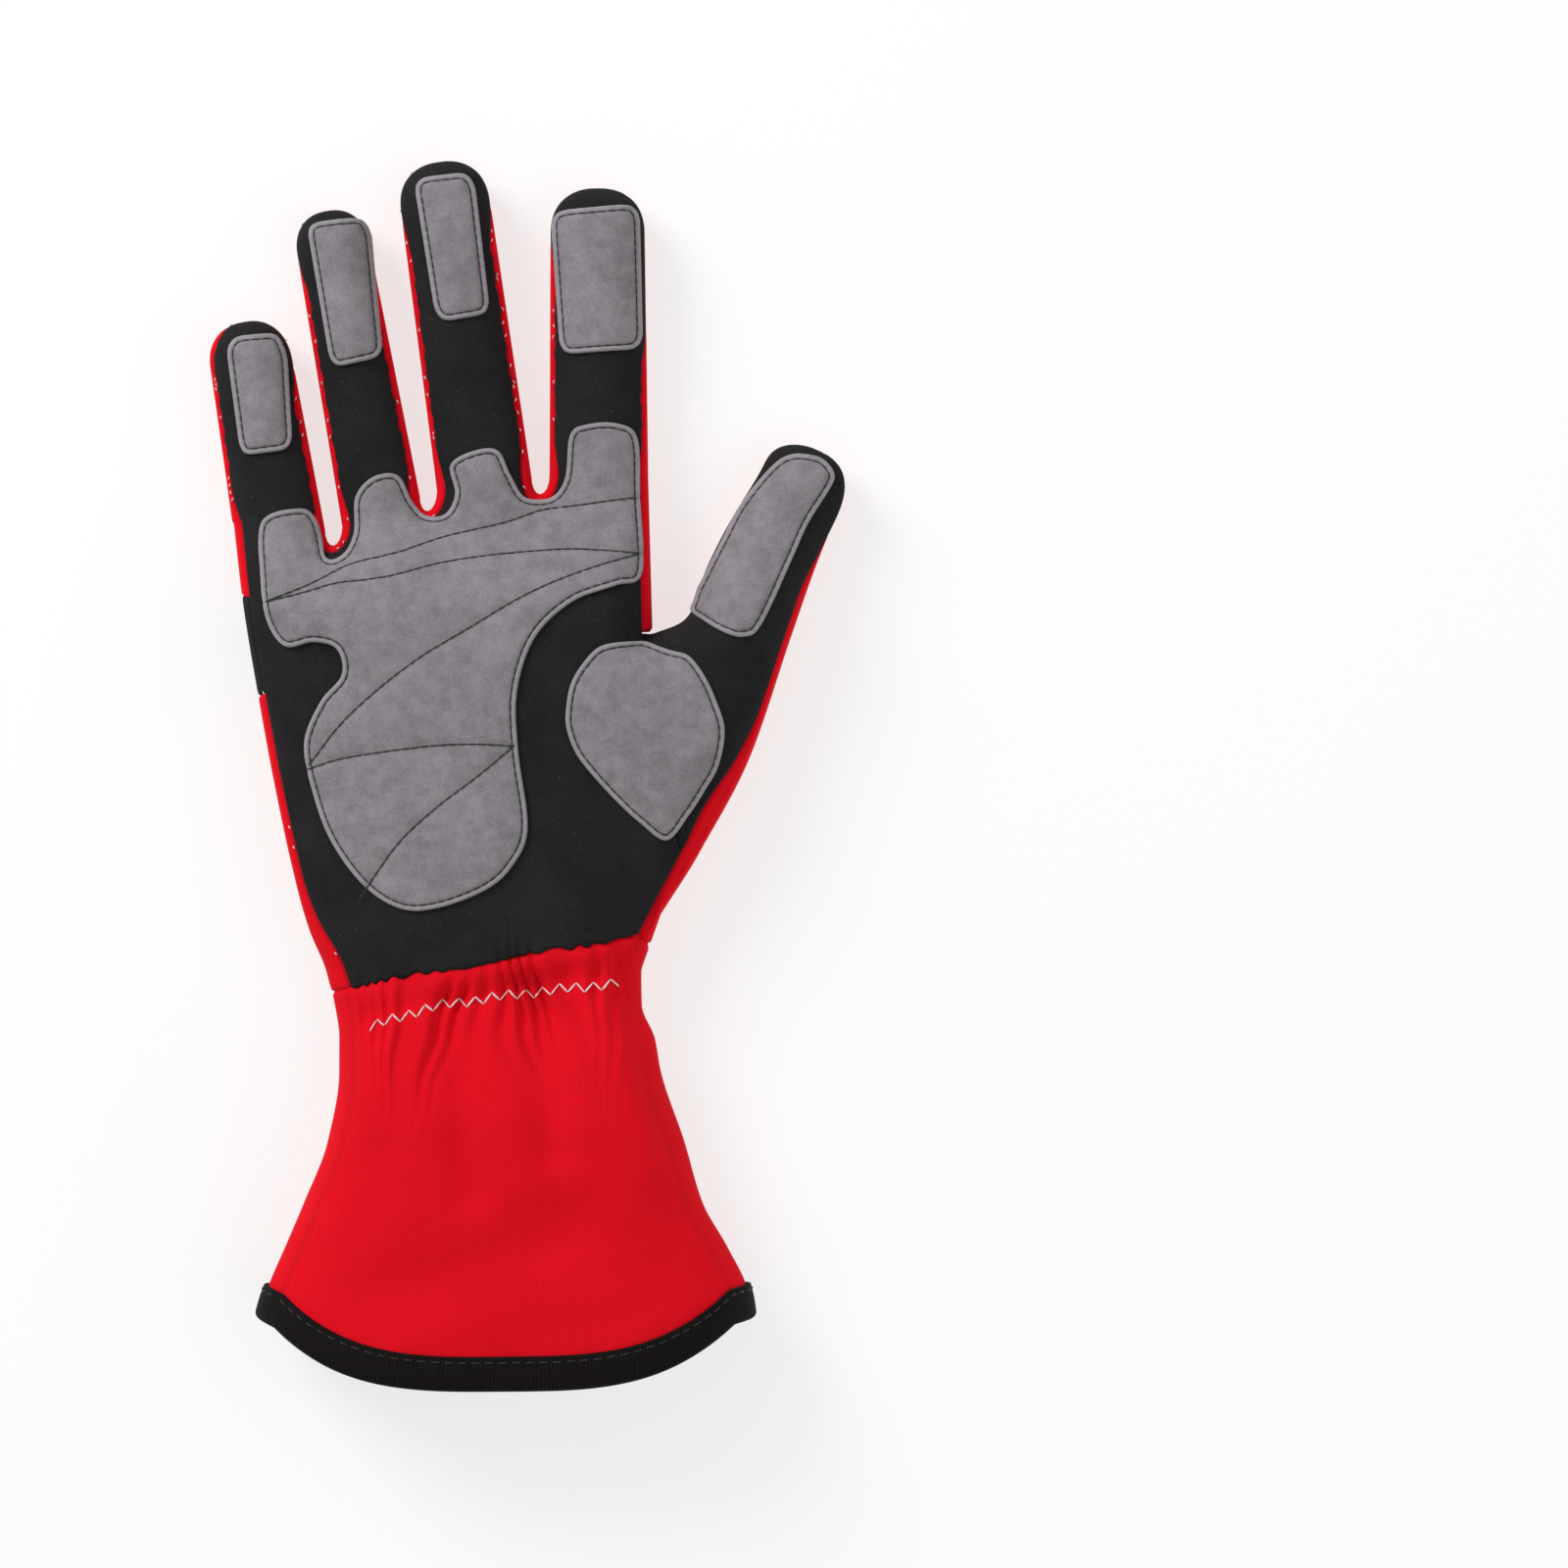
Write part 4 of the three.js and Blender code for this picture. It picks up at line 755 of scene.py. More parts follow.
def finger_grids(side, outer, inner):
    """Fronts or backs of the four fingers, each between its two seams."""
    grids = []
    for digit in FINGERS:
        lefts = (outer if digit is PINKY else inner)(digit_run(digit, -1))
        rights = (outer if digit is INDEX else inner)(digit_run(digit, 1))
        rows = across(lefts, rights, FINGER_COLUMNS)
        grids.append(grid(rows, side, digit_uv(digit, rows)))
    return grids


def knuckle_row(grids, inner):
    """Row across the roots of the fingers and round the notches between them."""
    rows = []
    for i, g in enumerate(grids):
        rows.append(g["rows"][0])
        if i < 3:
            rows.append(inner(notch_run(i)))
    return np.concatenate(rows)


def scallops(x):
    """Uneven scallops of the palm's gathered heel edge: two sines, the bigger bent by a slower one."""
    phase = x / 4.4 + 0.5 * np.sin(x / 5.3 + 0.6) + 0.35 * np.sin(x / 2.9 + 1.1)
    return 0.32 * (1 + 0.7 * np.sin(x / 6.7)) * np.cos(math.tau * phase) + 0.4 * np.sin(x / 5.2 + 1.0)


def palm_grids():
    """Palm and finger fronts, with the heel edge moved by its scallops."""
    fingers = finger_grids(PALM, palm_seam, palm_seam)
    left = palm_seam(left_run)
    right = np.concatenate([
        palm_seam(outer_run)[:OUTER_ROWS],
        thumb_seam(-HALF_GAP)[::-1],
        palm_seam(index_run)[:-1][::-1],
    ])
    bottom = evenly(left[0], right[0], HAND_COLUMNS)
    bottom[1:-1, 1] += scallops(bottom[1:-1, 0])
    return [grid(between_edges(bottom, knuckle_row(fingers, palm_seam), left, right))] + fingers


def thumb_front_grid():
    """Thumb's front, from its seam with the palm to its tip."""
    rights_t = np.concatenate([np.linspace(WRAP_START + 0.012, WRAP_START + 0.05, 9), thumb_high])
    rights = palm_seam(digit_run(THUMB, 1, rights_t, follow(WRAP, "inset", rights_t)))
    lefts = edge_seam(inner_run, HALF_GAP)
    rows = across(lefts, rights, THUMB_SEAM_ROWS)
    rows = np.concatenate([thumb_seam(HALF_GAP)[None], rows])
    return grid(rows, PALM, digit_uv(THUMB, rows))


def thumb_back_grids():
    """Thumb's back, in two parts that meet in a row from the crotch to the outer side."""
    outer = back_flat(outer_run)
    lefts = edge_seam(inner_run, -HALF_GAP)
    low, columns = len(outer) - len(lefts), THUMB_SEAM_ROWS
    seam = side_seam(np.linspace(0, 1, columns + 1))
    seam[-1] = side_end
    high = evenly(lefts, outer[low:], columns)
    base = between_edges(seam, high[0], spread_line(seam[0], lefts[0], low), outer[:low + 1])
    return [grid(g, BACK, digit_uv(THUMB, g)) for g in (base, high)]


waist = evenly(back_flat(left_run)[0], moved(side_end, -2 * HALF_GAP), HAND_COLUMNS)


def back_grids():
    """Back of the hand and of the fingers."""
    fingers = finger_grids(BACK, back_flat, back_seam)
    left = back_flat(left_run)
    seam = moved(side_seam(np.linspace(1, 0, SIDE_ROWS + 1)), -2 * HALF_GAP)[:-1]
    right = np.concatenate([seam, back_flat(index_run)[::-1]])
    right[0] = waist[-1]
    return [grid(between_edges(waist, knuckle_row(fingers, back_seam), left, right), BACK)] + fingers


def side_strips():
    """Pinky side and index side, wrapped from the palm seam on to the back."""
    pinky = wrap_strip(left_run + digit_run(PINKY, -1).cut(1, FINGER_ROWS + TIP_ROWS + 1))
    index = wrap_strip(digit_run(INDEX, 1).cut(1, FINGER_ROWS + TIP_ROWS + 1).flipped() + index_run)
    return [grid(s, BACK, strip_uv(s, 0)) for s in (pinky, index)]


def fourchette(i):
    """Gusset between two fingers: one strip down the one, round the notch and up the other."""
    a = digit_run(FINGERS[i], 1).flipped()
    run = a + notch_run(i) + digit_run(FINGERS[i + 1], -1)
    keep = 1 - run.fade
    rows = strip(run, palm_turn(run, -HALF_GAP * keep), back_turn(run, HALF_GAP * keep))
    return [grid(rows, BACK, strip_uv(rows, 0))]


# Cuff

def hem_row(left, right, columns):
    """Row that hangs between the hem's corners: -sag (1 - |s|^3.3)."""
    row = evenly(left, right, columns)
    s = np.abs(2 * np.arange(1, columns) / columns - 1)
    row[1:-1, 1] -= HEM_SAG * (1 - s**3.3)
    return row


cuff_share = np.linspace(0, 1, CUFF_ROWS + 1)
cuff_left = Run([(left_edge, mix(-1.0, HEEL_LEFT_AT, cuff_share), 0, HEEL_LEFT_INSET)])
cuff_right = Run([(right_edge, mix(-1.0, HEEL_RIGHT_AT, cuff_share), 0, HEEL_RIGHT_INSET)])


def cuff_front():
    """Palm side of the cuff, from its hanging hem to the scalloped heel edge."""
    left, right = (palm_seam(run, 0) for run in (cuff_left, cuff_right))
    top = evenly(left[-1], right[-1], CUFF_COLUMNS)
    top[1:-1, 1] += scallops(top[1:-1, 0])
    return between_edges(hem_row(left[0], right[0], CUFF_COLUMNS), top, left, right)


def cuff_back():
    """Back of the cuff, up to the row where the back of the hand begins."""
    left = moved(back_flat(cuff_left), 2 * HALF_GAP)
    right = moved(back_flat(cuff_right), -2 * HALF_GAP)
    left[-1], right[-1] = waist[0], waist[-1]
    return between_edges(hem_row(left[0], right[0], HAND_COLUMNS), waist, left, right)


def cuff_sides():
    """Sides of the cuff, wrapped from its front on to its back."""
    return [strip(run, palm_turn(run, 0), flat_turn(run)) for run in (cuff_left, cuff_right)]


# Meshes

FRAME_UNIT = 0.001


def place_mesh(name, points, quads, tris, uv=None, extra=None):
    """A mesh of quads and triangles with its place in its vertices, a UV map in mm and vertex attributes."""
    mesh = bpy.data.meshes.new(name)
    mesh.vertices.add(len(points))
    mesh.vertices.foreach_set("co", ((points - ORIGIN) * FRAME_UNIT).astype(np.float32).ravel())
    corners = np.concatenate([quads.ravel(), tris.ravel()]).astype(np.int32)
    starts = np.concatenate([4 * np.arange(len(quads)), 4 * len(quads) + 3 * np.arange(len(tris))])
    mesh.loops.add(len(corners))
    mesh.loops.foreach_set("vertex_index", corners)
    mesh.polygons.add(len(starts))
    mesh.polygons.foreach_set("loop_start", starts.astype(np.int32))
    mesh.polygons.foreach_set("use_smooth", np.ones(len(starts), bool))
    mesh.update(calc_edges=True)
    mesh.validate()
    if uv is not None:
        layer = mesh.uv_layers.new(name="cloth")
        loops = np.empty(len(mesh.loops), np.int32)
        mesh.loops.foreach_get("vertex_index", loops)
        layer.data.foreach_set("uv", uv[loops].astype(np.float32).ravel())
    for key, values in (extra or {}).items():
        mesh.attributes.new(key, "FLOAT", "POINT").data.foreach_set("value", values.astype(np.float32))
    piece = bpy.data.objects.new(name, mesh)
    bpy.context.scene.collection.objects.link(piece)
    return piece


def welded(grids, soft=True):
    """Grids as one sheet of faces: shared edge points are merged."""
    flat, places, normals, uvs = [], [], [], []
    faces, start = [], 0
    for g in grids:
        place, normal = skin(g["rows"], g["side"], soft)
        r, c = g["rows"].shape[:2]
        ids = start + np.arange(r * c).reshape(r, c)
        faces.append(np.stack([ids[:-1, :-1], ids[:-1, 1:], ids[1:, 1:], ids[1:, :-1]], -1).reshape(-1, 4))
        start += r * c
        places.append(place.reshape(-1, 3))
        normals.append(normal.reshape(-1, 3))
        uvs.append(g["uv"].reshape(-1, 2))
        flat.append(g["rows"].reshape(-1, 4))
    place, normal, uv, plane = map(np.concatenate, (places, normals, uvs, flat))
    marks = np.round(place * WELD_STEPS).astype(np.int64)
    _, first, back = np.unique(marks, axis=0, return_index=True, return_inverse=True)
    faces = back.reshape(-1)[np.concatenate(faces)]
    place, normal, uv, plane = place[first], normal[first], uv[first], plane[first]
    return {"place": place, "normal": normal, "uv": uv, "plane": plane, "faces": faces}


def closest_on(p, line):
    """Nearest points of a polyline."""
    a, e = line[:-1], np.diff(line, axis=0)
    q = p[:, None] - a
    t = np.clip((q * e).sum(-1) / (e * e).sum(1), 0, 1)
    foot = a + t[..., None] * e
    best = ((p[:, None] - foot) ** 2).sum(-1).argmin(1)
    return foot[np.arange(len(p)), best]


def trimmed(sheet, inside, line):
    """Keeps the faces on one side of a closed plane outline, with their outer points drawn on to the line."""
    keep = inside[sheet["faces"]].any(1)
    faces = sheet["faces"][keep]
    loose = np.unique(faces[~inside[faces]])
    target = closest_on(sheet["plane"][loose, :2], line)
    shift = target - sheet["plane"][loose, :2]
    out = {k: v.copy() for k, v in sheet.items()}
    out["place"][loose, :2] += shift
    out["plane"][loose, :2] += shift
    out["uv"][loose] += shift
    out["faces"] = faces
    return out


def kept_inside(line, edges, margin):
    """A plane line with each point moved inwards until it is `margin` inside clockwise edges."""
    distance, _, hand, away = nearest(line, edges)
    short = np.maximum(margin - distance * hand, 0)
    inwards = np.where((distance > 0.3)[:, None], away * hand[:, None], away)
    return line + short[:, None] * inwards


def finger_edges(digit):
    """Both edges of a finger as one clockwise line, from below its root."""
    t = np.linspace(-0.2, 1, 140)
    return np.concatenate([digit_edge(digit, -1)(t, 0), digit_edge(digit, 1)(t, 0)[::-1][1:]])


def tidy_faces(faces, place, normal):
    """Quads and triangles without repeated corners, all turned outwards."""
    out = []
    same = [faces[:, k] == faces[:, (k + 1) % 4] for k in range(4)]
    count = np.sum(same, axis=0)
    crossed = (faces[:, 0] == faces[:, 2]) | (faces[:, 1] == faces[:, 3])
    quads = faces[(count == 0) & ~crossed]
    tris = []
    for k in range(4):
        rows = faces[same[k] & (count == 1) & ~crossed]
        tris.append(np.delete(rows, k, axis=1))
    for rows in (quads, np.concatenate(tris)):
        p = place[rows]
        facing = np.cross(p[:, 1] - p[:, 0], p[:, -1] - p[:, 0])
        if rows.shape[1] == 4:
            facing = facing + np.cross(p[:, 3] - p[:, 2], p[:, 1] - p[:, 2])
        flip = (facing * normal[rows].sum(1)).sum(1) < 0
        rows = rows.copy()
        rows[flip] = rows[flip][:, ::-1]
        out.append(rows)
    return out


def free_edges(quads, tris, count):
    """Directed edges that only one face has."""
    edges = np.concatenate(
        [quads[:, [k, (k + 1) % 4]] for k in range(4)] + [tris[:, [k, (k + 1) % 3]] for k in range(3)]
    )
    key, reverse = edges[:, 0] * count + edges[:, 1], edges[:, 1] * count + edges[:, 0]
    return edges[~np.isin(key, reverse)]


CELL_CODE = np.array([1, 4001, 16008001])


def edge_distance(place, edges, reach, chunk=2000):
    """Distance from each point to the nearest free edge, up to `reach`. Only points in a cell beside an
    edge's cell are measured."""
    a, e = place[edges[:, 0]], place[edges[:, 1]] - place[edges[:, 0]]
    square = np.maximum((e * e).sum(1), 1e-12)
    out = np.full(len(place), reach)
    cell = np.floor(place / reach).astype(np.int64)
    marks = np.unique(cell[edges.ravel()], axis=0)
    around = np.array([(i, j, k) for i in (-1, 0, 1) for j in (-1, 0, 1) for k in (-1, 0, 1)])
    near = np.isin(cell @ CELL_CODE, (marks[:, None] + around).reshape(-1, 3) @ CELL_CODE)
    ids = np.flatnonzero(near)
    for k in range(0, len(ids), chunk):
        row = ids[k:k + chunk]
        q = place[row][:, None] - a
        t = np.clip((q * e).sum(-1) / square, 0, 1)
        gap = q - t[..., None] * e
        out[row] = np.minimum(np.sqrt((gap * gap).sum(-1).min(1)), reach)
    return out


ROLL_REACH = 3.0


def cloth(name, sheet, thickness, lift=0.0, roll=0.7, radius=1.1):
    """A sheet with thickness. At a distance d from a free edge it rolls down by `roll` times
    1 - sqrt(1 - (1 - d/radius)^2)."""
    place, normal = sheet["place"], sheet["normal"]
    quads, tris = tidy_faces(sheet["faces"], place, normal)
    used = np.unique(np.concatenate([quads.ravel(), tris.ravel()]))
    remap = np.full(len(place), -1)
    remap[used] = np.arange(len(used))
    quads, tris, place, normal, uv = remap[quads], remap[tris], place[used], normal[used], sheet["uv"][used]
    n = len(place)
    edges = free_edges(quads, tris, n)
    d = edge_distance(place, edges, ROLL_REACH)
    s = np.clip(1 - d / radius, 0, 1)
    drop = roll * (1 - np.sqrt(np.maximum(1 - s * s, 0)))
    lift = lift[used] if isinstance(lift, np.ndarray) else lift
    top = place + normal * (lift - drop)[:, None]
    base = place + normal * (np.minimum(lift, lift - drop + 0.3) - thickness)[:, None]
    a, b = edges.T
    walls = np.stack([b, a, a + n, b + n], -1)
    return place_mesh(
        name, np.concatenate([top, base]),
        np.concatenate([quads, quads[:, ::-1] + n, walls]), np.concatenate([tris, tris[:, ::-1] + n]),
        np.concatenate([uv, uv]), {"edge": np.tile(d, 2)},
    )


# Outlines of the suede patches and of the black panel in the back

def lengths(line):
    """How far along a line each of its points lies."""
    return np.concatenate([[0], np.cumsum(np.linalg.norm(np.diff(line, axis=0), axis=1))])


def resampled(line, spacing):
    """The same line in even steps, by straight interpolation over its length."""
    along = lengths(line)
    count = max(int(round(along[-1] / spacing)), 2)
    at = np.linspace(0, along[-1], count + 1)
    return np.stack([np.interp(at, along, line[:, k]) for k in range(line.shape[1])], -1)


def curve_between(a, b, c, d):
    """Cubic curves from each point b to the next point c, in twelve steps. The slope at a point is half the
    way from the point before it to the one after it."""
    t = np.linspace(0, 1, 12, endpoint=False)[:, None, None]
    curve = 0.5 * (2 * b + (c - a) * t + (2 * a - 5 * b + 4 * c - d) * t**2 + (3 * b - a - 3 * c + d) * t**3)
    return curve.transpose(1, 0, 2).reshape(-1, 2)


def smooth_loop(points, spacing=0.8):
    """Closed smooth curve through points, in even steps; the last point repeats the first."""
    p = np.asarray(points, float)
    curve = curve_between(*(np.roll(p, k, axis=0) for k in (1, 0, -1, -2)))
    return resampled(np.concatenate([curve, curve[:1]]), spacing)


def smooth_line(points, spacing=0.8):
    """Open smooth curve through points, in even steps."""
    p = np.asarray(points, float)
    p = np.concatenate([2 * p[:1] - p[1:2], p, 2 * p[-1:] - p[-2:-1]])
    curve = curve_between(p[:-3], p[1:-2], p[2:-1], p[3:])
    return resampled(np.concatenate([curve, p[-2:-1]]), spacing)


def hand_points(pairs):
    """x as shares of the palm's width, up as shares of the hand's length above the wrist."""
    pairs = np.array(pairs)
    return np.stack([pairs[:, 0] * PALM_WIDTH, WRIST_Y + pairs[:, 1] * HAND_LENGTH], -1)


PALM_PATCH = hand_points([
    (-0.631, 0.969), (-0.549, 0.998), (-0.509, 0.977), (-0.479, 0.892), (-0.434, 0.898), (-0.408, 0.946),
    (-0.406, 1.022), (-0.366, 1.064), (-0.31, 1.068), (-0.277, 1.012), (-0.244, 0.981), (-0.192, 0.985),
    (-0.167, 1.029), (-0.178, 1.091), (-0.122, 1.12), (-0.068, 1.12), (-0.04, 1.07), (-0.005, 1.02),
    (0.059, 1.018), (0.096, 1.06), (0.108, 1.153), (0.148, 1.175), (0.218, 1.177), (0.261, 1.148),
    (0.268, 1.027), (0.272, 0.861), (0.214, 0.834), (0.113, 0.799), (0.026, 0.725), (-0.016, 0.615),
    (-0.014, 0.491), (0.009, 0.326), (-0.028, 0.246), (-0.092, 0.196), (-0.204, 0.159), (-0.293, 0.157),
    (-0.38, 0.204), (-0.455, 0.293), (-0.498, 0.388), (-0.523, 0.502), (-0.486, 0.589), (-0.434, 0.646),
    (-0.446, 0.7), (-0.502, 0.715), (-0.568, 0.706), (-0.61, 0.76), (-0.627, 0.853),
])
THUMB_BASE_PATCH = hand_points([
    (0.262, 0.716), (0.306, 0.707), (0.35, 0.695), (0.394, 0.684), (0.432, 0.64), (0.46, 0.584),
    (0.474, 0.529), (0.458, 0.458), (0.425, 0.405), (0.39, 0.357), (0.336, 0.301), (0.275, 0.336),
    (0.223, 0.378), (0.164, 0.434), (0.122, 0.483), (0.101, 0.533), (0.099, 0.57), (0.11, 0.626),
    (0.141, 0.673), (0.185, 0.708),
])
INSET = hand_points([
    (-0.76, 0.815), (-0.653, 0.808), (-0.592, 0.839), (-0.455, 0.907), (-0.268, 0.958), (-0.124, 0.969),
    (0.012, 0.963), (0.085, 0.93), (0.136, 0.876), (0.169, 0.812), (0.178, 0.748), (0.174, 0.686),
    (0.146, 0.622), (0.101, 0.578), (0.021, 0.558), (-0.07, 0.568), (-0.185, 0.599), (-0.293, 0.626),
    (-0.411, 0.638), (-0.519, 0.636), (-0.603, 0.617), (-0.76, 0.59),
])
thumb_patch_rows = table("up out", [
    (0.168, 0.26), (0.139, 0.455), (0.133, 0.7), (0.154, 0.88), (0.227, 0.973), (0.52, 0.959),
    (0.697, 0.947), (0.859, 0.985), (0.923, 0.969), (0.957, 0.837), (0.956, 0.69), (0.921, 0.49),
    (0.843, 0.37), (0.646, 0.26), (0.485, 0.25), (0.305, 0.25),
])
THUMB_PATCH = CROTCH + thumb_vector(thumb_patch_rows["up"], thumb_patch_rows["out"])

# Shapes given on the drawing are in its quarter millimetres, x to the right and y downwards from DRAWN_ZERO.

DRAWN_ZERO = (537, 787)
DRAWN_PER_MM = 4
TIP_PATCHES = {
    "pinky": [(233, 357), (241, 345), (281, 341), (290, 362), (297, 450), (291, 460), (252, 465), (246, 455)],
    "ring": [(316, 236), (322, 229), (366, 223), (374, 236), (388, 356), (383, 366), (346, 375), (338, 366)],
    "middle": [
        (425, 192), (432, 183), (474, 178), (483, 190), (498, 312), (493, 322), (454, 329), (445, 318),
    ],
    "index": [(565, 226), (572, 216), (642, 210), (650, 220), (653, 346), (646, 357), (580, 362), (573, 352)],
}


def drawn(pairs):
    """Plane points of a shape on the drawing."""
    pairs = np.array(pairs, float)
    x, y = pairs[:, 0] - DRAWN_ZERO[0], DRAWN_ZERO[1] - pairs[:, 1]
    return np.stack([x / DRAWN_PER_MM, y / DRAWN_PER_MM], -1)


def rounded(corners, share=0.42, cut=2.4):
    """Closed outline through straight sides and corners rounded by quadratic curves, cut at a share of a side
    or a length, whichever is less."""
    p = np.asarray(corners, float)
    sides = [np.roll(p, k, 0) - p for k in (1, -1)]
    spans = [np.linalg.norm(side, axis=1) for side in sides]
    a, b = (p + side * (np.minimum(share * span, cut) / span)[:, None] for side, span in zip(sides, spans))
    s = np.linspace(0, 1, 7)[:, None]
    curve = ((1 - s) ** 2 * a[:, None] + 2 * s * (1 - s) * p[:, None] + s * s * b[:, None]).reshape(-1, 2)
    return resampled(np.concatenate([curve, curve[:1]]), 0.6)


def inside_loop(p, loop):
    """Even-odd rule against a closed polyline."""
    out = np.zeros(len(p), bool)
    for (x0, y0), (x1, y1) in zip(loop[:-1], loop[1:]):
        crosses = (y0 > p[:, 1]) != (y1 > p[:, 1])
        if crosses.any():
            reach = x0 + (p[:, 1] - y0) * (x1 - x0) / ((y1 - y0) or 1e-12)
            out ^= crosses & (p[:, 0] < reach)
    return out


def inner_ring(loop, by):
    """Closed outline moved inwards by a length, along the mean of its neighbours' normals."""
    p = loop[:-1]
    d = np.roll(p, -1, 0) - np.roll(p, 1, 0)
    area = (p[:, 0] * np.roll(p[:, 1], -1) - np.roll(p[:, 0], -1) * p[:, 1]).sum()
    normal = np.stack([-d[:, 1], d[:, 0]], -1) * np.sign(area) / np.linalg.norm(d, axis=1)[:, None]
    q = p + by * normal
    return np.concatenate([q, q[:1]])


GROOVE_INSET = 1.4
RINGS = (0.14, 0.35, 0.65, 0.95, 1.2, 1.4, 1.65, 2.0, 2.6)


def plane_mesh(loop, spacing):
    """Triangles over a closed outline: its own points, rings inside it and a hexagonal grid in the middle."""
    points = [loop[:-1]]
    count = len(loop) - 1
    for by in RINGS:
        ring = inner_ring(loop, by)[:-1]
        distance, _, _, _ = nearest(ring, loop)
        points.append(ring[distance > 0.9 * by])
    lo, hi = loop.min(0), loop.max(0)
    x, y = np.meshgrid(np.arange(lo[0], hi[0], spacing), np.arange(lo[1], hi[1], spacing * 0.866))
    x = x + (np.arange(len(x)) % 2)[:, None] * spacing / 2
    middle = np.stack([x.ravel(), y.ravel()], -1)
    middle = middle[inside_loop(middle, loop)]
    distance, _, _, _ = nearest(middle, loop)
    points.append(middle[distance > RINGS[-1] + 0.5 * spacing])
    points = np.concatenate(points)
    border = [(i, (i + 1) % count) for i in range(count)]
    verts, _, faces, _, _, _ = delaunay_2d_cdt([Vector(p) for p in points], border, [], 1, 1e-6)
    return np.array([tuple(v) for v in verts]), np.array([f for f in faces if len(f) == 3])


# Thread

def stitch_places(line, pitch, length):
    """Five points along each stitch of a polyline, by interpolation at even steps of its length."""
    total = np.linalg.norm(np.diff(line, axis=0), axis=1).sum()
    fine = resampled(line, 0.35)
    count = max(int(round(total / pitch)), 1)
    at = (np.arange(count)[:, None] + 0.5) * total / count + np.linspace(-0.5, 0.5, 5) * length
    along = np.linspace(0, total, len(fine))
    return np.stack([np.interp(at, along, fine[:, k]) for k in range(fine.shape[1])], -1)


def stitches(lines, pitch=3.0, length=2.3, width=THREAD, sunk=0.35, lift=0.0, side=PALM, sides=6):
    """Stitches along plane lines on the skin, raised by `lift`, a number or a function of plane points."""
    centres, normals = [], []
    for line in lines:
        plane = stitch_places(np.asarray(line, float), pitch, length)
        place, normal = skin(free(plane), side)
        raised = lift(plane) if callable(lift) else np.full(plane.shape[:-1], lift)
        centres.append(place + normal * raised[..., None])
        normals.append(normal)
    return stitch_tubes(np.concatenate(centres), np.concatenate(normals), width, sunk, sides)


def stitch_tubes(centre, normal, width, sunk, sides=6):
    """Capsules: each stitch is a tube of five rings along its points, its ends dipped into the cloth."""
    tangent = np.gradient(centre, axis=1)
    tangent /= np.linalg.norm(tangent, axis=-1, keepdims=True)
    aside = np.cross(tangent, normal)
    up = np.cross(aside, tangent)
    s = np.linspace(-1, 1, 5)
    radius = width / 2 * np.array([0.55, 0.95, 1.0, 0.95, 0.55])
    centre = centre + up * (width * 0.42 - sunk * s**4)[None, :, None]
    a = np.linspace(0, math.tau, sides, endpoint=False)
    ring = aside[..., None, :] * np.cos(a)[:, None] + up[..., None, :] * np.sin(a)[:, None]
    return tubes(centre[..., None, :] + ring * radius[None, :, None, None])


def tubes(points):
    """Faces over closed tubes given as (tube, ring, side, xyz), with both ends capped by fans."""
    n, rings, sides, _ = points.shape
    ids = np.arange(n * rings * sides).reshape(n, rings, sides)
    nxt = np.roll(ids, -1, axis=2)
    quads = np.stack([ids[:, :-1], nxt[:, :-1], nxt[:, 1:], ids[:, 1:]], -1).reshape(-1, 4)
    ends = points[:, [0, -1]].mean(2).reshape(-1, 3)
    first = n * rings * sides + 2 * np.arange(n)[:, None] + np.zeros((1, sides), int)
    caps = np.concatenate([
        np.stack([first, nxt[:, 0], ids[:, 0]], -1).reshape(-1, 3),
        np.stack([first + 1, ids[:, -1], nxt[:, -1]], -1).reshape(-1, 3),
    ])
    return np.concatenate([points.reshape(-1, 3), ends]), quads, caps


def joined(parts):
    """Several (points, quads, triangles) as one."""
    start, points, quads, tris = 0, [], [], []
    for p, q, t in parts:
        points.append(p)
        quads.append(q + start)
        tris.append(t + start)
        start += len(p)
    return np.concatenate(points), np.concatenate(quads), np.concatenate(tris)


def thread_piece(name, parts, finish, slot):
    """Groups of stitches as one dressed piece."""
    points, quads, tris = joined(parts)
    piece = place_mesh(name, points, quads, tris)
    return dress(piece, finish, slot)


# Finishes

class Wire:
    """One output of a material's node; +, -, * and ** with numbers or other wires add Math nodes."""

    def __init__(self, finish, socket):
        self.finish, self.socket = finish, socket

    def maths(self, operation, *others):
        return self.finish.node("ShaderNodeMath", {"operation": operation}, dict(enumerate([self, *others])))

    def __add__(self, other):
        return self.maths("ADD", other)

    def __sub__(self, other):
        return self.maths("SUBTRACT", other)

    def __mul__(self, other):
        return self.maths("MULTIPLY", other)

    def __pow__(self, other):
        return self.maths("POWER", other)

    def __rsub__(self, other):
        return self.finish.node("ShaderNodeMath", {"operation": "SUBTRACT"}, {0: other, 1: self})

    __radd__, __rmul__ = __add__, __mul__


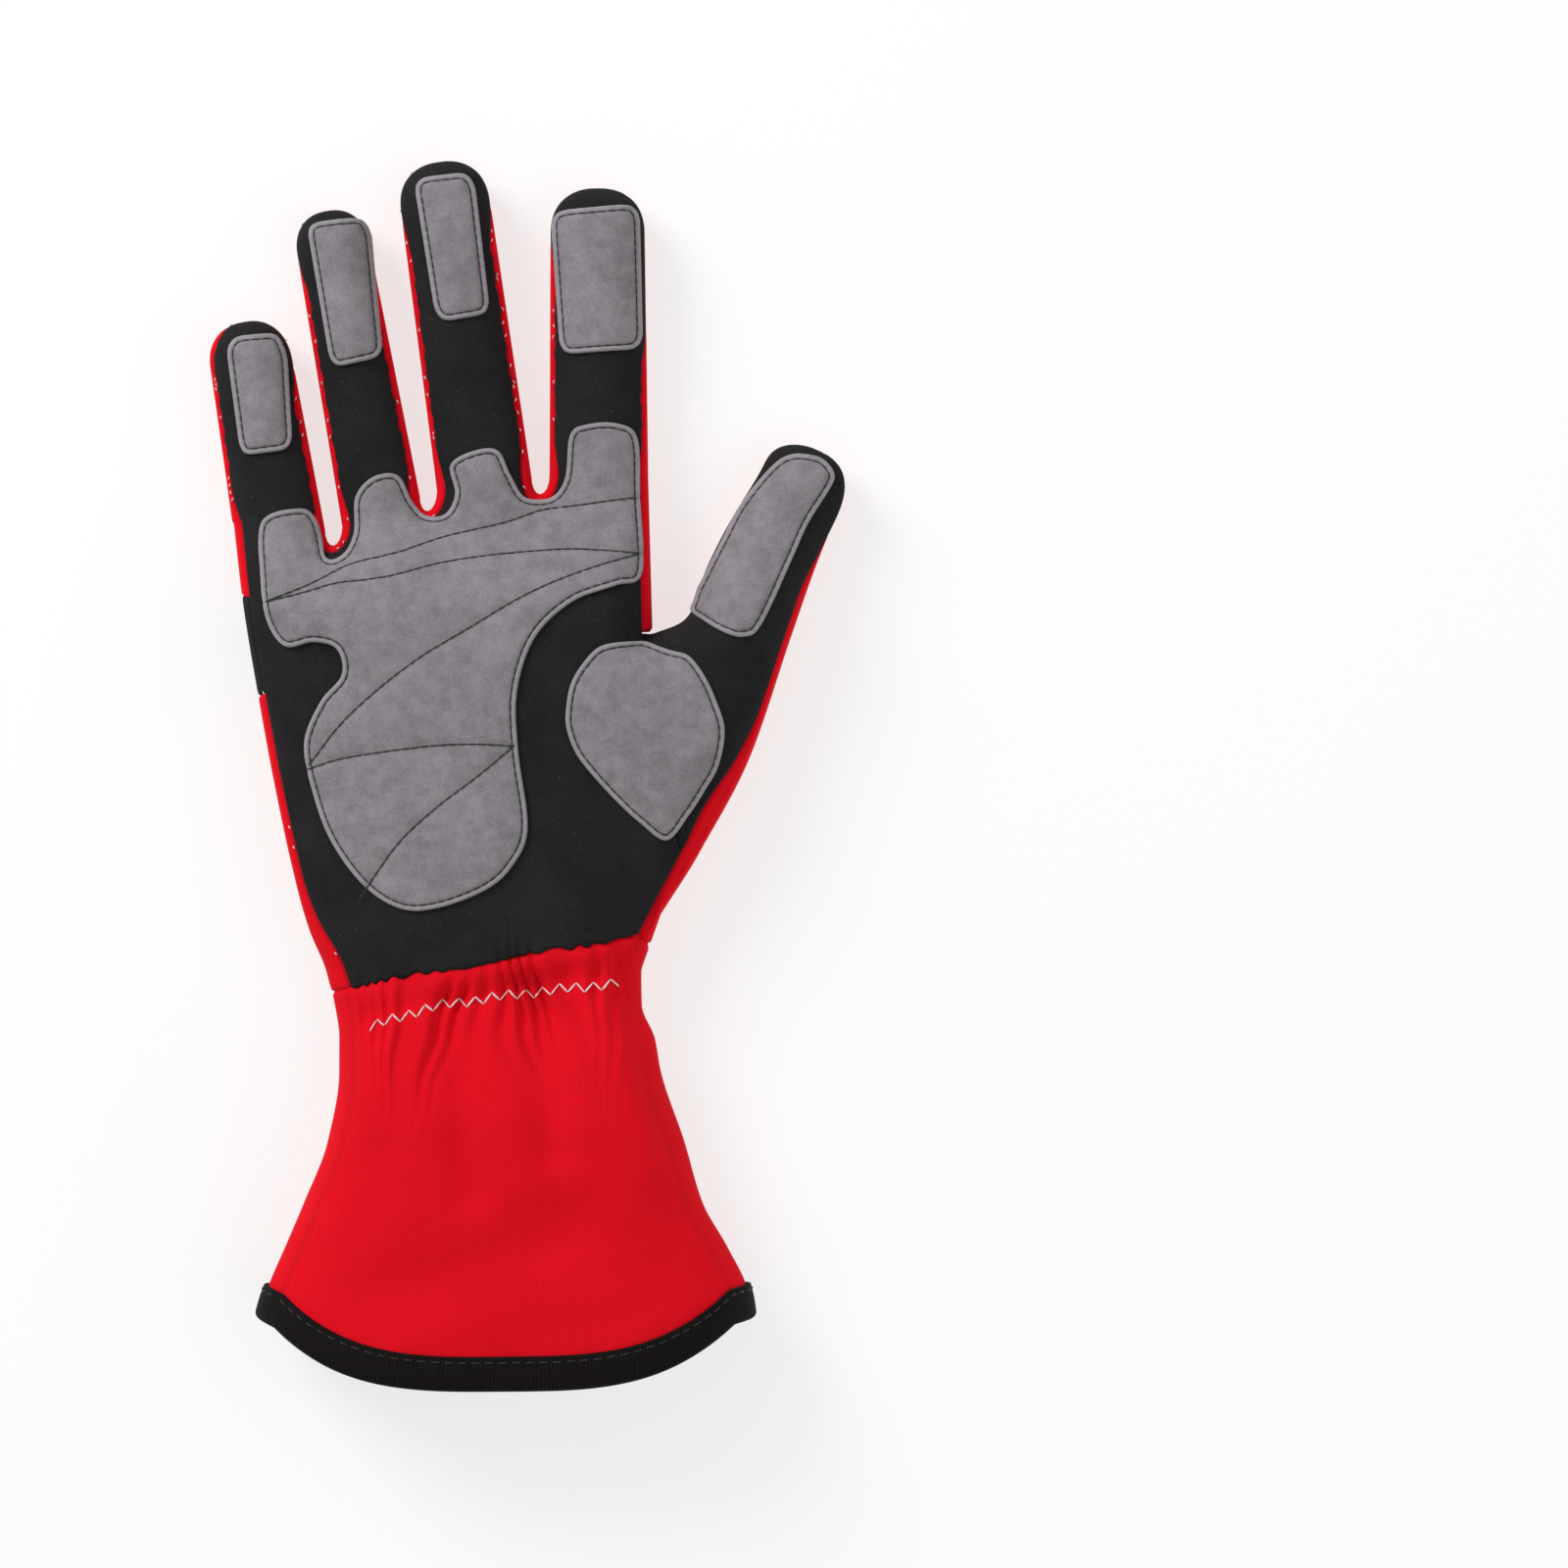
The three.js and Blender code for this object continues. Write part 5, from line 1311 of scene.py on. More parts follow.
class Finish:
    """A procedural material: constants sit on the shader's own sockets, and only what varies is linked."""

    def __init__(self, name, roughness=0.9, sheen=0.0, sheen_tint=(1, 1, 1), specular=0.25):
        self.material = bpy.data.materials.new(name)
        self.material.use_nodes = True
        self.tree = self.material.node_tree
        self.shader = self.tree.nodes["Principled BSDF"]
        self.shader.inputs["Roughness"].default_value = roughness
        self.shader.inputs["Specular IOR Level"].default_value = specular
        self.shader.inputs["Sheen Weight"].default_value = sheen
        self.shader.inputs["Sheen Roughness"].default_value = 0.5
        self.shader.inputs["Sheen Tint"].default_value = (*sheen_tint, 1)

    def node(self, kind, settings=None, sockets=None, out=0):
        made = self.tree.nodes.new(kind)
        for key, value in (settings or {}).items():
            if key == "stops":
                ramp = made.color_ramp
                while len(ramp.elements) < len(value):
                    ramp.elements.new(0.5)
                for element, (position, colour) in zip(ramp.elements, value):
                    element.position, element.color = position, (*colour, 1)
            else:
                setattr(made, key, value)
        for key, value in (sockets or {}).items():
            if isinstance(value, Wire):
                self.tree.links.new(value.socket, made.inputs[key])
            else:
                made.inputs[key].default_value = value
        return Wire(self, made.outputs[out])

    def object_place(self):
        return self.node("ShaderNodeTexCoord", out="Object")

    def cloth_place(self):
        place = self.node("ShaderNodeUVMap", {"uv_map": "cloth"})
        u = self.node("ShaderNodeSeparateXYZ", sockets={0: place})
        return u, Wire(self, u.socket.node.outputs[1])

    def attribute(self, name):
        return self.node("ShaderNodeAttribute", {"attribute_name": name}, out="Fac")

    def noise(self, scale, detail=3.0, roughness=0.55):
        sockets = {"Vector": self.object_place(), "Scale": scale, "Detail": detail, "Roughness": roughness}
        return self.node("ShaderNodeTexNoise", None, sockets)

    def step(self, value, low, high):
        """0 below low, 1 above high, smooth between."""
        return self.node(
            "ShaderNodeMapRange", {"interpolation_type": "SMOOTHSTEP"},
            {"Value": value, "From Min": low, "From Max": high, "To Min": 0.0, "To Max": 1.0},
        )

    def blend(self, share, a, b):
        """Colour a where share is 0 and b where it is 1."""
        sockets = {0: share}
        for index, colour in ((6, a), (7, b)):
            sockets[index] = colour if isinstance(colour, Wire) else (*colour, 1)
        return self.node("ShaderNodeMix", {"data_type": "RGBA", "clamp_factor": True}, sockets, out=2)

    def bump(self, height, distance, strength):
        sockets = {"Height": height, "Distance": distance, "Strength": strength}
        return self.node("ShaderNodeBump", None, sockets)

    def use(self, **wires):
        for key, wire in wires.items():
            self.tree.links.new(wire.socket, self.shader.inputs[key.replace("_", " ")])
        return self.material


def ribbed_knit(name, dark, light, pitch=0.8):
    """Fine knit: ribs along v from a sine of u, stitches along each rib from a sine of v, and soft
    blotches."""
    finish = Finish(name, roughness=0.95, sheen=0.02, sheen_tint=(1.0, 0.3, 0.3), specular=0.05)
    u, v = finish.cloth_place()
    waver = finish.noise(60.0, 2.0)
    rib = ((u + waver * 0.5) * (math.tau / pitch)).maths("SINE")
    course = ((v + rib * 0.1 + waver * 0.4) * (math.tau / 0.66)).maths("SINE")
    knit = rib * 0.34 + course * 0.16 + 0.5
    fuzz = finish.noise(2400.0, 2.0, 0.7)
    blotch = finish.noise(38.0, 3.0)
    share = knit * 0.3 + fuzz * 0.4 + blotch * 0.3
    return finish.use(
        Base_Color=finish.blend(finish.step(share, 0.2, 0.8), dark, light),
        Roughness=fuzz * 0.08 + 0.9,
        Normal=finish.bump(knit * 0.5 + fuzz * 0.5, 0.00012, 0.5),
    )


def napped_cloth(name, dark, light, lint=(0.16, 0.16, 0.17)):
    """Black suede-like cloth: short nap from fine noise, grey cast from slow noise, and pale specks of
    lint."""
    finish = Finish(name, roughness=0.95, sheen=0.015, sheen_tint=(0.8, 0.8, 0.85), specular=0.04)
    nap = finish.noise(1700.0, 4.0, 0.75)
    cast = finish.noise(55.0, 4.0, 0.6)
    share = nap * 0.55 + cast * 0.45
    specks = finish.step(finish.noise(1300.0, 2.0, 0.5), 0.71, 0.77)
    colour = finish.blend(finish.step(share, 0.3, 0.75), dark, light)
    return finish.use(
        Base_Color=finish.blend(specks * 0.3, colour, lint),
        Roughness=nap * 0.1 + 0.88,
        Normal=finish.bump(nap, 0.00018, 0.5),
    )


def suede(name, dark, light, pale):
    """Grey suede: mottled by noise at three sizes, paler towards its cut edge, with a fine nap."""
    finish = Finish(name, roughness=0.95, sheen=0.02, sheen_tint=(0.9, 0.9, 0.95), specular=0.05)
    nap = finish.noise(1500.0, 4.0, 0.75)
    mottle = finish.noise(240.0, 4.0, 0.65)
    cast = finish.noise(45.0, 3.0)
    share = nap * 0.38 + mottle * 0.42 + cast * 0.2
    rim = 1 - finish.step(finish.attribute("edge"), 0.5, 1.5)
    colour = finish.blend(finish.step(share, 0.3, 0.7), dark, light)
    return finish.use(
        Base_Color=finish.blend(rim * 0.45, colour, pale),
        Roughness=mottle * 0.1 + 0.86,
        Normal=finish.bump(nap * 0.7 + mottle * 0.3, 0.0002, 0.55),
    )


def ribbed_tape(name, dark, light, pitch=1.0):
    """Woven tape: cross ribs from a sine of u along the hem, with a twill of both directions."""
    finish = Finish(name, roughness=0.85, sheen=0.01, specular=0.1)
    u, v = finish.cloth_place()
    rib = (u * (math.tau / pitch)).maths("SINE")
    twill = ((u + v) * (math.tau / 0.7)).maths("SINE")
    grain = finish.noise(1900.0, 2.0)
    height = rib * 0.4 + twill * 0.15 + 0.5
    return finish.use(
        Base_Color=finish.blend(finish.step(height * 0.6 + grain * 0.4, 0.2, 0.8), dark, light),
        Roughness=grain * 0.15 + 0.7,
        Normal=finish.bump(height, 0.00025, 0.6),
    )


def loop_pile(name, dark, light):
    """Fastener pile: wriggling ridges where a noise-bent wave crosses its middle, over a fuzzy ground."""
    finish = Finish(name, roughness=0.95, sheen=0.05, sheen_tint=(1.0, 0.4, 0.4), specular=0.1)
    u, v = finish.cloth_place()
    bend = finish.noise(520.0, 2.0, 0.6)
    ridge = (((u + bend * 5.0) * (math.tau / 2.3)).maths("SINE") * 0.5 + 0.5) ** 3.0
    cross = (((v + bend * 4.2) * (math.tau / 1.9)).maths("SINE") * 0.5 + 0.5) ** 3.0
    loops = ridge * 0.6 + cross * 0.5
    fuzz = finish.noise(2300.0, 3.0, 0.7)
    return finish.use(
        Base_Color=finish.blend(finish.step(loops * 0.7 + fuzz * 0.4, 0.1, 1.0), dark, light),
        Roughness=fuzz * 0.1 + 0.88,
        Normal=finish.bump(loops * 0.8 + fuzz * 0.2, 0.0006, 0.8),
    )


def spun_thread(name, dark, light):
    """Sewing thread: a fine twist of noise."""
    finish = Finish(name, roughness=0.7, sheen=0.2, specular=0.35)
    grain = finish.noise(2400.0, 2.0, 0.6)
    return finish.use(
        Base_Color=finish.blend(finish.step(grain, 0.3, 0.7), dark, light),
        Roughness=grain * 0.2 + 0.55,
        Normal=finish.bump(grain, 0.0001, 0.5),
    )


RED = ribbed_knit("red_knit", (0.61, 0.0035, 0.010), (0.81, 0.006, 0.017))
BLACK = napped_cloth("black_cloth", (0.013, 0.0125, 0.013), (0.027, 0.026, 0.0275))
GREY = suede("grey_suede", (0.165, 0.155, 0.168), (0.30, 0.28, 0.30), (0.39, 0.37, 0.40))
TAPE = ribbed_tape("black_tape", (0.003, 0.0022, 0.002), (0.009, 0.0065, 0.006))
PILE_RED = loop_pile("loop_pile", (0.36, 0.003, 0.006), (0.86, 0.03, 0.045))
WHITE_THREAD = spun_thread("white_thread", (0.66, 0.56, 0.57), (0.9, 0.84, 0.85))
BLACK_THREAD = spun_thread("black_thread", (0.004, 0.004, 0.004), (0.012, 0.012, 0.013))


def dress(piece, finish, slot, *nodes):
    """Gives a piece its finish, the body it rides on and the nodes it stands for. Its slot is not used."""
    piece.data.materials.clear()
    piece.data.materials.append(finish)
    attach(piece, "root")
    if nodes:
        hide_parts(*nodes)
    return piece


# Palm side

inset_loop = smooth_loop(INSET)
palm_sheet = welded(palm_grids())
dress(cloth("palm_cloth", palm_sheet, CLOTH), BLACK, "black_cloth", "palm_panel")
dress(cloth("thumb_front_cloth", welded([thumb_front_grid()]), CLOTH), BLACK, "black_cloth", "thumb_front")

# Back, with the black panel let in

back_hand = back_grids()
pinky_side, index_side = side_strips()
back_sheet = welded(back_hand + [pinky_side, index_side, grid(cuff_back(), BACK)])
inset_side = inside_loop(back_sheet["plane"][:, :2], inset_loop)
red_sheet = trimmed(back_sheet, ~inset_side, inset_loop)
black_sheet = trimmed(back_sheet, inset_side, inset_loop)
dress(cloth("back_cloth", red_sheet, CLOTH), RED, "red_knit", "back_panel")
dress(cloth("back_inset_cloth", black_sheet, CLOTH), BLACK, "black_cloth", "back_inset")
for i, name in enumerate(("pinky_ring", "ring_middle", "middle_index")):
    gusset = cloth(f"gusset_{name}", welded(fourchette(i)), CLOTH)
    dress(gusset, RED, "red_knit", f"fourchette_{name}")
thumb_strip = wrap_strip(outer_run)
thumb_sheet = welded(thumb_back_grids() + [grid(thumb_strip, BACK, strip_uv(thumb_strip, 0))])
dress(cloth("thumb_back_cloth", thumb_sheet, CLOTH), RED, "red_knit", "thumb_back")

# Cuff and its binding

front_rows = cuff_front()
left_side, right_side = cuff_sides()
cuff_sheet = welded([grid(front_rows)] + [grid(s, BACK, strip_uv(s, 0)) for s in (left_side, right_side)])
dress(cloth("cuff_cloth", cuff_sheet, CLOTH), RED, "red_knit", "cuff_panel")


def binding(row=6):
    """Tape folded round the hem: a rounded U section carried along the hem and the rows above it, which point
    the way up, with shallow dimples at its stitches. Returns the piece, its stitch line and that line's
    normals."""
    back_rows = cuff_back()
    places = [
        (front_rows[0], front_rows[row], PALM),
        (right_side[1:, 0], right_side[1:, row], BACK),
        (back_rows[0, 1:-1][::-1], back_rows[row, 1:-1][::-1], BACK),
        (left_side[1:, 0][::-1], left_side[1:, row][::-1], BACK),
    ]
    found = []
    for start, end, side in places:
        step = apart(start, end)[:, None]
        ahead = free(mix(start[:, :2], end[:, :2], BINDING_WIDTH / step))
        ahead[:, 2:] = start[:, 2:]
        found.append(skin(start, side) + skin(ahead, side))
    edge, edge_n, low, low_n = map(np.concatenate, zip(*found))
    outer, inner = BINDING_CLOTH + 0.35, -CLOTH - BINDING_CLOTH - 0.3
    turn = np.linspace(math.pi / 2, -math.pi / 2, 9)
    middle, reach = (outer + inner) / 2, (outer - inner) / 2
    section = np.concatenate([
        [(1.0, 0.1), (1.0, outer - 0.35), (0.965, outer - 0.06), (0.9, outer)],
        [(s, outer + 0.12 * math.sin(math.pi * s)) for s in (0.75, 0.6, 0.45, 0.3, 0.15)],
        [(-0.13 * math.cos(a) * 1.6, middle + reach * math.sin(a)) for a in turn],
        [(s, inner) for s in (0.3, 0.6, 0.9)], [(0.98, inner + 0.2), (1.0, -CLOTH - 0.1)],
        [(0.3, -CLOTH - 0.1), (0.02, -CLOTH - 0.05), (0.02, 0.05), (0.3, 0.1)],
    ])
    s, h = section[:, 0], section[:, 1]
    count, m = len(edge), len(section)
    length = lengths(edge)
    at_stitch = bell((((length / BINDING_PITCH) % 1) - 0.5) / 0.3)[:, None]
    dimple = 0.16 * at_stitch * bell((s - BINDING_STITCH_AT) / 0.09) * (h > 0)
    normal = mix(edge_n[:, None], low_n[:, None], np.clip(s, 0, 1)[:, None])
    points = mix(edge[:, None], low[:, None], s[:, None]) + normal * (h - dimple)[..., None]
    ids = np.arange(count * m).reshape(count, m)
    a, b = ids, np.roll(ids, -1, axis=0)
    quads = np.stack([a, np.roll(a, -1, 1), np.roll(b, -1, 1), b], -1).reshape(-1, 4)
    around = np.concatenate([[0], np.cumsum(np.hypot(np.diff(s) * BINDING_WIDTH, np.diff(h)))])
    uv = np.stack(np.broadcast_arrays(length[:, None], around), -1).reshape(-1, 2)
    piece = place_mesh("hem_tape", points.reshape(-1, 3), quads[:, ::-1], np.zeros((0, 3), int), uv)
    line_n = mix(edge_n, low_n, BINDING_STITCH_AT)
    return piece, mix(edge, low, BINDING_STITCH_AT) + line_n * (outer + 0.02), line_n


tape, tape_line, tape_up = binding()
dress(tape, TAPE, "black_tape", "hem_binding")

# Suede patches

PATCH_LIFT = 0.3
THUMB_PATCH_MARGIN = 0.35
PATCH_SPACING = 1.15
GROOVE_DEPTH = 0.36
QUILTING = [smooth_line(line) for line in (
    [
        (-65.3, 43.0), (-53.5, 47.8), (-42.8, 52.8), (-31.3, 56.0), (-18.0, 60.3), (-5.5, 63.3), (3.5, 66.0),
        (15.3, 68.0), (27.8, 69.8),
    ],
    [
        (-65.3, 43.0), (-57.8, 44.8), (-47.8, 47.5), (-34.5, 49.5), (-22.0, 52.8), (-9.8, 54.8), (2.8, 56.0),
        (13.5, 56.5), (28.5, 55.5),
    ],
    [
        (28.5, 55.5), (11.0, 49.5), (-1.3, 43.8), (-13.8, 36.3), (-26.3, 28.8), (-37.8, 20.0), (-47.0, 11.3),
        (-54.5, 1.5),
    ],
    [(-54.8, 0.5), (-47.0, 3.0), (-36.3, 4.8), (-22.0, 6.5), (-11.3, 6.8), (-2.3, 6.3)],
    [
        (-3.0, 6.0), (-11.3, -1.0), (-21.3, -8.5), (-30.5, -16.8), (-36.3, -24.3), (-40.3, -30.3),
        (-41.8, -32.8),
    ],
)]


def patch(name, loop, node, quilting=()):
    """A suede sheet on the skin: a rounded cut edge, a groove along its stitches, a groove under each line of
    quilting, and a little puff between them. Returns its stitch line."""
    plane, faces = plane_mesh(loop, PATCH_SPACING)
    distance, along, _, _ = nearest(plane, loop)
    place, normal = skin(free(plane))
    groove = GROOVE_DEPTH * bell((distance - GROOVE_INSET) / 0.4)
    pucker = 0.07 * np.sin(math.tau * along / 2.4) * bell((distance - 0.8) / 0.7)
    seam_lift = np.zeros(len(plane))
    for line in quilting:
        away, _, _, _ = nearest(plane, line)
        groove = np.maximum(groove, 0.5 * bell(away / 0.8))
        seam_lift = np.maximum(seam_lift, bell(away / 6.0))
    puff = 0.3 * smooth((distance - 2.1) / 6) * (1 - seam_lift)
    s = np.clip(1 - distance / 0.75, 0, 1)
    drop = 0.75 * (1 - np.sqrt(np.maximum(1 - s * s, 0)))
    height = PATCH_LIFT + SUEDE - groove + pucker + puff - drop
    n = len(plane)
    up = normal[faces].sum(1)
    p = place[faces]
    flip = (np.cross(p[:, 1] - p[:, 0], p[:, 2] - p[:, 0]) * up).sum(1) < 0
    faces[flip] = faces[flip][:, ::-1]
    edges = free_edges(np.zeros((0, 4), int), faces, n)
    a, b = edges.T
    walls = np.stack([b, a, a + n, b + n], -1)
    points = np.concatenate([place + normal * height[:, None], place + normal * (PATCH_LIFT - 0.22)])
    piece = place_mesh(
        name, points, walls, np.concatenate([faces, faces[:, ::-1] + n]), np.tile(plane, (2, 1)),
        {"edge": np.tile(distance, 2)},
    )
    dress(piece, GREY, "grey_suede", node)
    return inner_ring(loop, GROOVE_INSET)


patch_lines = [
    patch("palm_suede", smooth_loop(PALM_PATCH), "palm_patch", QUILTING),
    patch("thumb_base_suede", smooth_loop(THUMB_BASE_PATCH), "thumb_base_patch"),
    patch("thumb_suede", kept_inside(smooth_loop(THUMB_PATCH), OUTLINE, THUMB_PATCH_MARGIN), "thumb_patch"),
]
for name, shape in TIP_PATCHES.items():
    patch_lines.append(patch(f"{name}_suede", rounded(drawn(shape)), f"{name}_patch"))

sewn = stitches(patch_lines + QUILTING, 2.4, 2.45, 0.36, 0.12, PATCH_LIFT + SUEDE - GROOVE_DEPTH)

# Strap, tab and pile on the back of the wrist

STRAP_Y = WRIST_Y + STRAP_AT * HAND_LENGTH
STRAP_LOW, STRAP_HIGH = STRAP_Y - STRAP_WIDTH / 2, STRAP_Y + STRAP_WIDTH / 2
STRAP_LIFT = 0.2
SEAM_MARGIN = 1.5
RISE_LENGTH = 8.0
BAND_COLUMNS, BAND_ROWS = 110, 40


def strap_end(y):
    """Where the strap ends at a height: a margin short of the side seam."""
    return side_seam((y - side_top[1]) / (side_end[1] - side_top[1]))[..., 0] - SEAM_MARGIN


STRAP_START = float(strap_end(np.array(STRAP_Y))) - STRAP_LENGTH - 4.5
CORNER_X = STRAP_START + 3.0


def band(middle, width, ends):
    """Sheet of a band between two ends that depend on the share v across it, from -1 to 1, and the height."""
    v = np.linspace(-1, 1, BAND_ROWS + 1)
    y = middle + v * width / 2
    a, b = ends(v, y)
    x = mix(a[:, None], b[:, None], np.linspace(0, 1, BAND_COLUMNS + 1))
    rows = free(np.stack(np.broadcast_arrays(x, y[:, None]), -1))
    return welded([grid(rows, BACK, flat_uv(rows)[..., ::-1])], soft=False)


def strap_ends(v, y):
    """The strap, its free end rounded by 1 - (1 - |v|^3.2)^0.4."""
    return STRAP_START + STRAP_ROUND * (1 - (1 - np.abs(v) ** 3.2) ** 0.4), strap_end(y)


def pile_ends(v, y):
    """The pile, square at both ends."""
    return CORNER_X + 5.0 + 0 * y, strap_end(y) - 2.6


def tab_ends(v, y):
    """The tab, from an inset of the side to its overlap under the strap."""
    return left_edge(level_of(y), TAB_INSET)[..., 0], STRAP_START + TAB_OVERLAP + 0 * y


def over_tab(x):
    """Height of the strap's top over the skin: it climbs on to the tab with the step curve."""
    climb = (TAB_CLOTH + 0.2) * smooth((STRAP_START + TAB_OVERLAP + RISE_LENGTH - x) / RISE_LENGTH)
    return STRAP_CLOTH + STRAP_LIFT + climb


def groove_along(plane, lines, width, depth):
    """Depth of a bell-shaped groove along lines."""
    out = np.zeros(len(plane))
    for line in lines:
        away, _, _, _ = nearest(plane, line)
        out = np.maximum(out, depth * bell(away / width))
    return out


def line_end(y):
    """Where the strap's lines end, just short of its sewn end."""
    return float(strap_end(np.array(y))) - 1.5


def strap_groove():
    """Hollow along the strap's edge, and one across it."""
    low, high = STRAP_LOW + 2.2, STRAP_HIGH - 2.2
    round_line = smooth_line([
        (line_end(STRAP_HIGH), high), (CORNER_X + 6, high), (CORNER_X + 1.2, STRAP_HIGH - 3.4),
        (CORNER_X, STRAP_HIGH - 7), (CORNER_X, STRAP_Y), (CORNER_X, STRAP_LOW + 7),
        (CORNER_X + 1.2, STRAP_LOW + 3.4), (CORNER_X + 6, low), (line_end(STRAP_LOW), low),
    ])
    return [round_line, np.array([(CORNER_X + 3.2, STRAP_LOW + 3.5), (CORNER_X + 3.2, STRAP_HIGH - 3.5)])]


strap_sheet = band(STRAP_Y, STRAP_WIDTH, strap_ends)
strap_plane = strap_sheet["plane"][:, :2]
strap_lift = over_tab(strap_plane[:, 0]) - groove_along(strap_plane, strap_groove(), 0.6, 0.35)
dress(cloth("strap_cloth", strap_sheet, STRAP_CLOTH, strap_lift, 0.5, 0.8), RED, "red_knit", "wrist_strap")

pile_sheet = band(STRAP_Y, STRAP_WIDTH - 2 * PILE_MARGIN - 1.0, pile_ends)
pile_x, pile_y = pile_sheet["plane"][:, 0], pile_sheet["plane"][:, 1]
bend_x, bend_y = (2.2 * ripple(pile_x, pile_y, seed, 5.0) for seed in (11, 13))
tufts = 0.22 * np.sin(pile_x * 2.9 + bend_x) * np.sin(pile_y * 3.1 + bend_y)
pile = cloth("strap_pile", pile_sheet, PILE - 0.1, over_tab(pile_x) + PILE - 0.15 + tufts, 0.5, 0.7)
dress(pile, PILE_RED, "loop_pile", "strap_loop_face")


def strap_top(plane):
    """Height of the strap's stitches over the skin, a little sunk into it."""
    return over_tab(plane[..., 0]) - 0.22


def strap_dashes(inset=2.0):
    """Dash line round the strap's edge, and one across it next to the bare stretch at its left end."""
    low, high, start = STRAP_LOW + inset, STRAP_HIGH - inset, STRAP_START + inset
    round_line = smooth_line([
        (line_end(high), high), (start + 14, high), (start + 4, high - 0.2), (start + 0.9, high - 1.4),
        (start, high - 5), (start, STRAP_Y), (start, low + 5), (start + 0.9, low + 1.4),
        (start + 4, low + 0.2), (start + 14, low), (line_end(low), low),
    ])
    return [round_line, np.array([(CORNER_X + 3.6, STRAP_LOW + 3.0), (CORNER_X + 3.6, STRAP_HIGH - 3.0)])]


TAB_Y = STRAP_Y - 0.13 * STRAP_WIDTH
tab_sheet = band(TAB_Y, TAB_WIDTH, tab_ends)
tab_left = float(tab_sheet["plane"][:, 0].min())
tab_levels = [TAB_Y + s * (TAB_WIDTH / 2 - 2.2) for s in (-1, 1)]
tab_lines = [np.array([(tab_left + 3, y), (STRAP_START, y)]) for y in tab_levels]
tab_plane = tab_sheet["plane"][:, :2]
tab_lift = TAB_CLOTH + 0.1 - groove_along(tab_plane, tab_lines, 0.6, 0.3)
dress(cloth("tab_cloth", tab_sheet, TAB_CLOTH, tab_lift, 0.5, 0.8), RED, "red_knit", "wrist_tab")


# Thread on the back and along the seams

BACK_LINES = [smooth_line(drawn(line)) for line in (
    [(215, 355), (227, 355), (234, 363), (236, 392), (241, 443), (246, 474), (238, 493), (232, 513)],
    [
        (317, 224), (328, 229), (334, 238), (337, 288), (343, 358), (350, 403), (350, 429), (337, 451),
        (327, 471), (323, 500),
    ],
    [
        (528, 171), (512, 172), (490, 181), (477, 194), (470, 228), (466, 278), (468, 339), (475, 395),
        (518, 424),
    ],
    [
        (676, 226), (662, 225), (649, 230), (635, 241), (630, 274), (623, 334), (624, 376), (644, 397),
        (656, 416), (661, 434),
    ],
)]
BACK_LINE_MARGIN = 2.2
INSET_STITCH_OUT = 3.0
INSET_STITCH_MARGIN = 1.9
CUFF_STITCH = table("at outer inner", [
    (-0.97, 2.5, 4.3), (-0.8, 2.9, 4.5), (-0.6, 3.2, 4.6),
    (-0.45, 2.6, 3.9), (-0.35, 1.5, 2.8), (-0.27, 0.4, 1.6),
])


def back_stitch_lines():
    """Lines up the fingers' backs, the double line up the cuff's side and the line round the black panel."""
    lines = [
        kept_inside(line, finger_edges(digit), BACK_LINE_MARGIN) for line, digit in zip(BACK_LINES, FINGERS)
    ]
    levels = np.linspace(-0.96, -0.28, 60)
    lines += [left_edge(levels, follow(CUFF_STITCH, column, levels)) for column in ("outer", "inner")]
    ring = inner_ring(inset_loop, -INSET_STITCH_OUT)
    ring = ring[ring[:, 0] > left_edge(level_of(ring[:, 1]), INSET_STITCH_OUT)[..., 0]]
    return lines + [kept_inside(ring, OUTLINE, INSET_STITCH_MARGIN)]


white = [
    stitches(back_stitch_lines(), pitch=2.9, length=2.1, width=0.5, lift=-0.1, side=BACK),
    stitches(strap_dashes(), 2.9, 2.0, 0.5, 0.3, strap_top, BACK),
]


def zigzag():
    """White zigzag along the wrist elastic: straight stitches between two rows of corners."""
    line = smooth_line(drawn([(380, 1047), (440, 1027), (530, 1013), (632, 1002)]), 0.3)
    corners = resampled(line, 2.15)
    count = np.arange(len(corners))
    tooth = np.where(count % 2, 1.2, -1.2) * (1 + 0.16 * np.sin(count * 2.3))
    corners[:, 1] += tooth + 0.2 * np.sin(count * 0.9)
    return [np.array([a, b]) for a, b in zip(corners[:-1], corners[1:])]


white.append(stitches(zigzag(), 9, 3.1, 0.5, 0.12, 0.05))


def seam_specks(runs, seed):
    """Short bits of white thread that show in the palm seam, at seeded uneven steps along each run."""
    rng = np.random.default_rng(seed)
    lines = []
    for run, share in runs:
        seam = palm_seam(run, 0)[:, :2]
        picks = np.flatnonzero(rng.random(len(seam) - 1) < share)
        turn = rng.uniform(-0.5, 0.5, len(picks))
        for i, a in zip(picks, turn):
            d = (seam[i + 1] - seam[i]) / max(np.linalg.norm(seam[i + 1] - seam[i]), 1e-6)
            d = np.array([d[0] * math.cos(a) - d[1] * math.sin(a), d[0] * math.sin(a) + d[1] * math.cos(a)])
            lines.append(np.array([seam[i] - 0.5 * d, seam[i] + 0.5 * d]))
    return lines


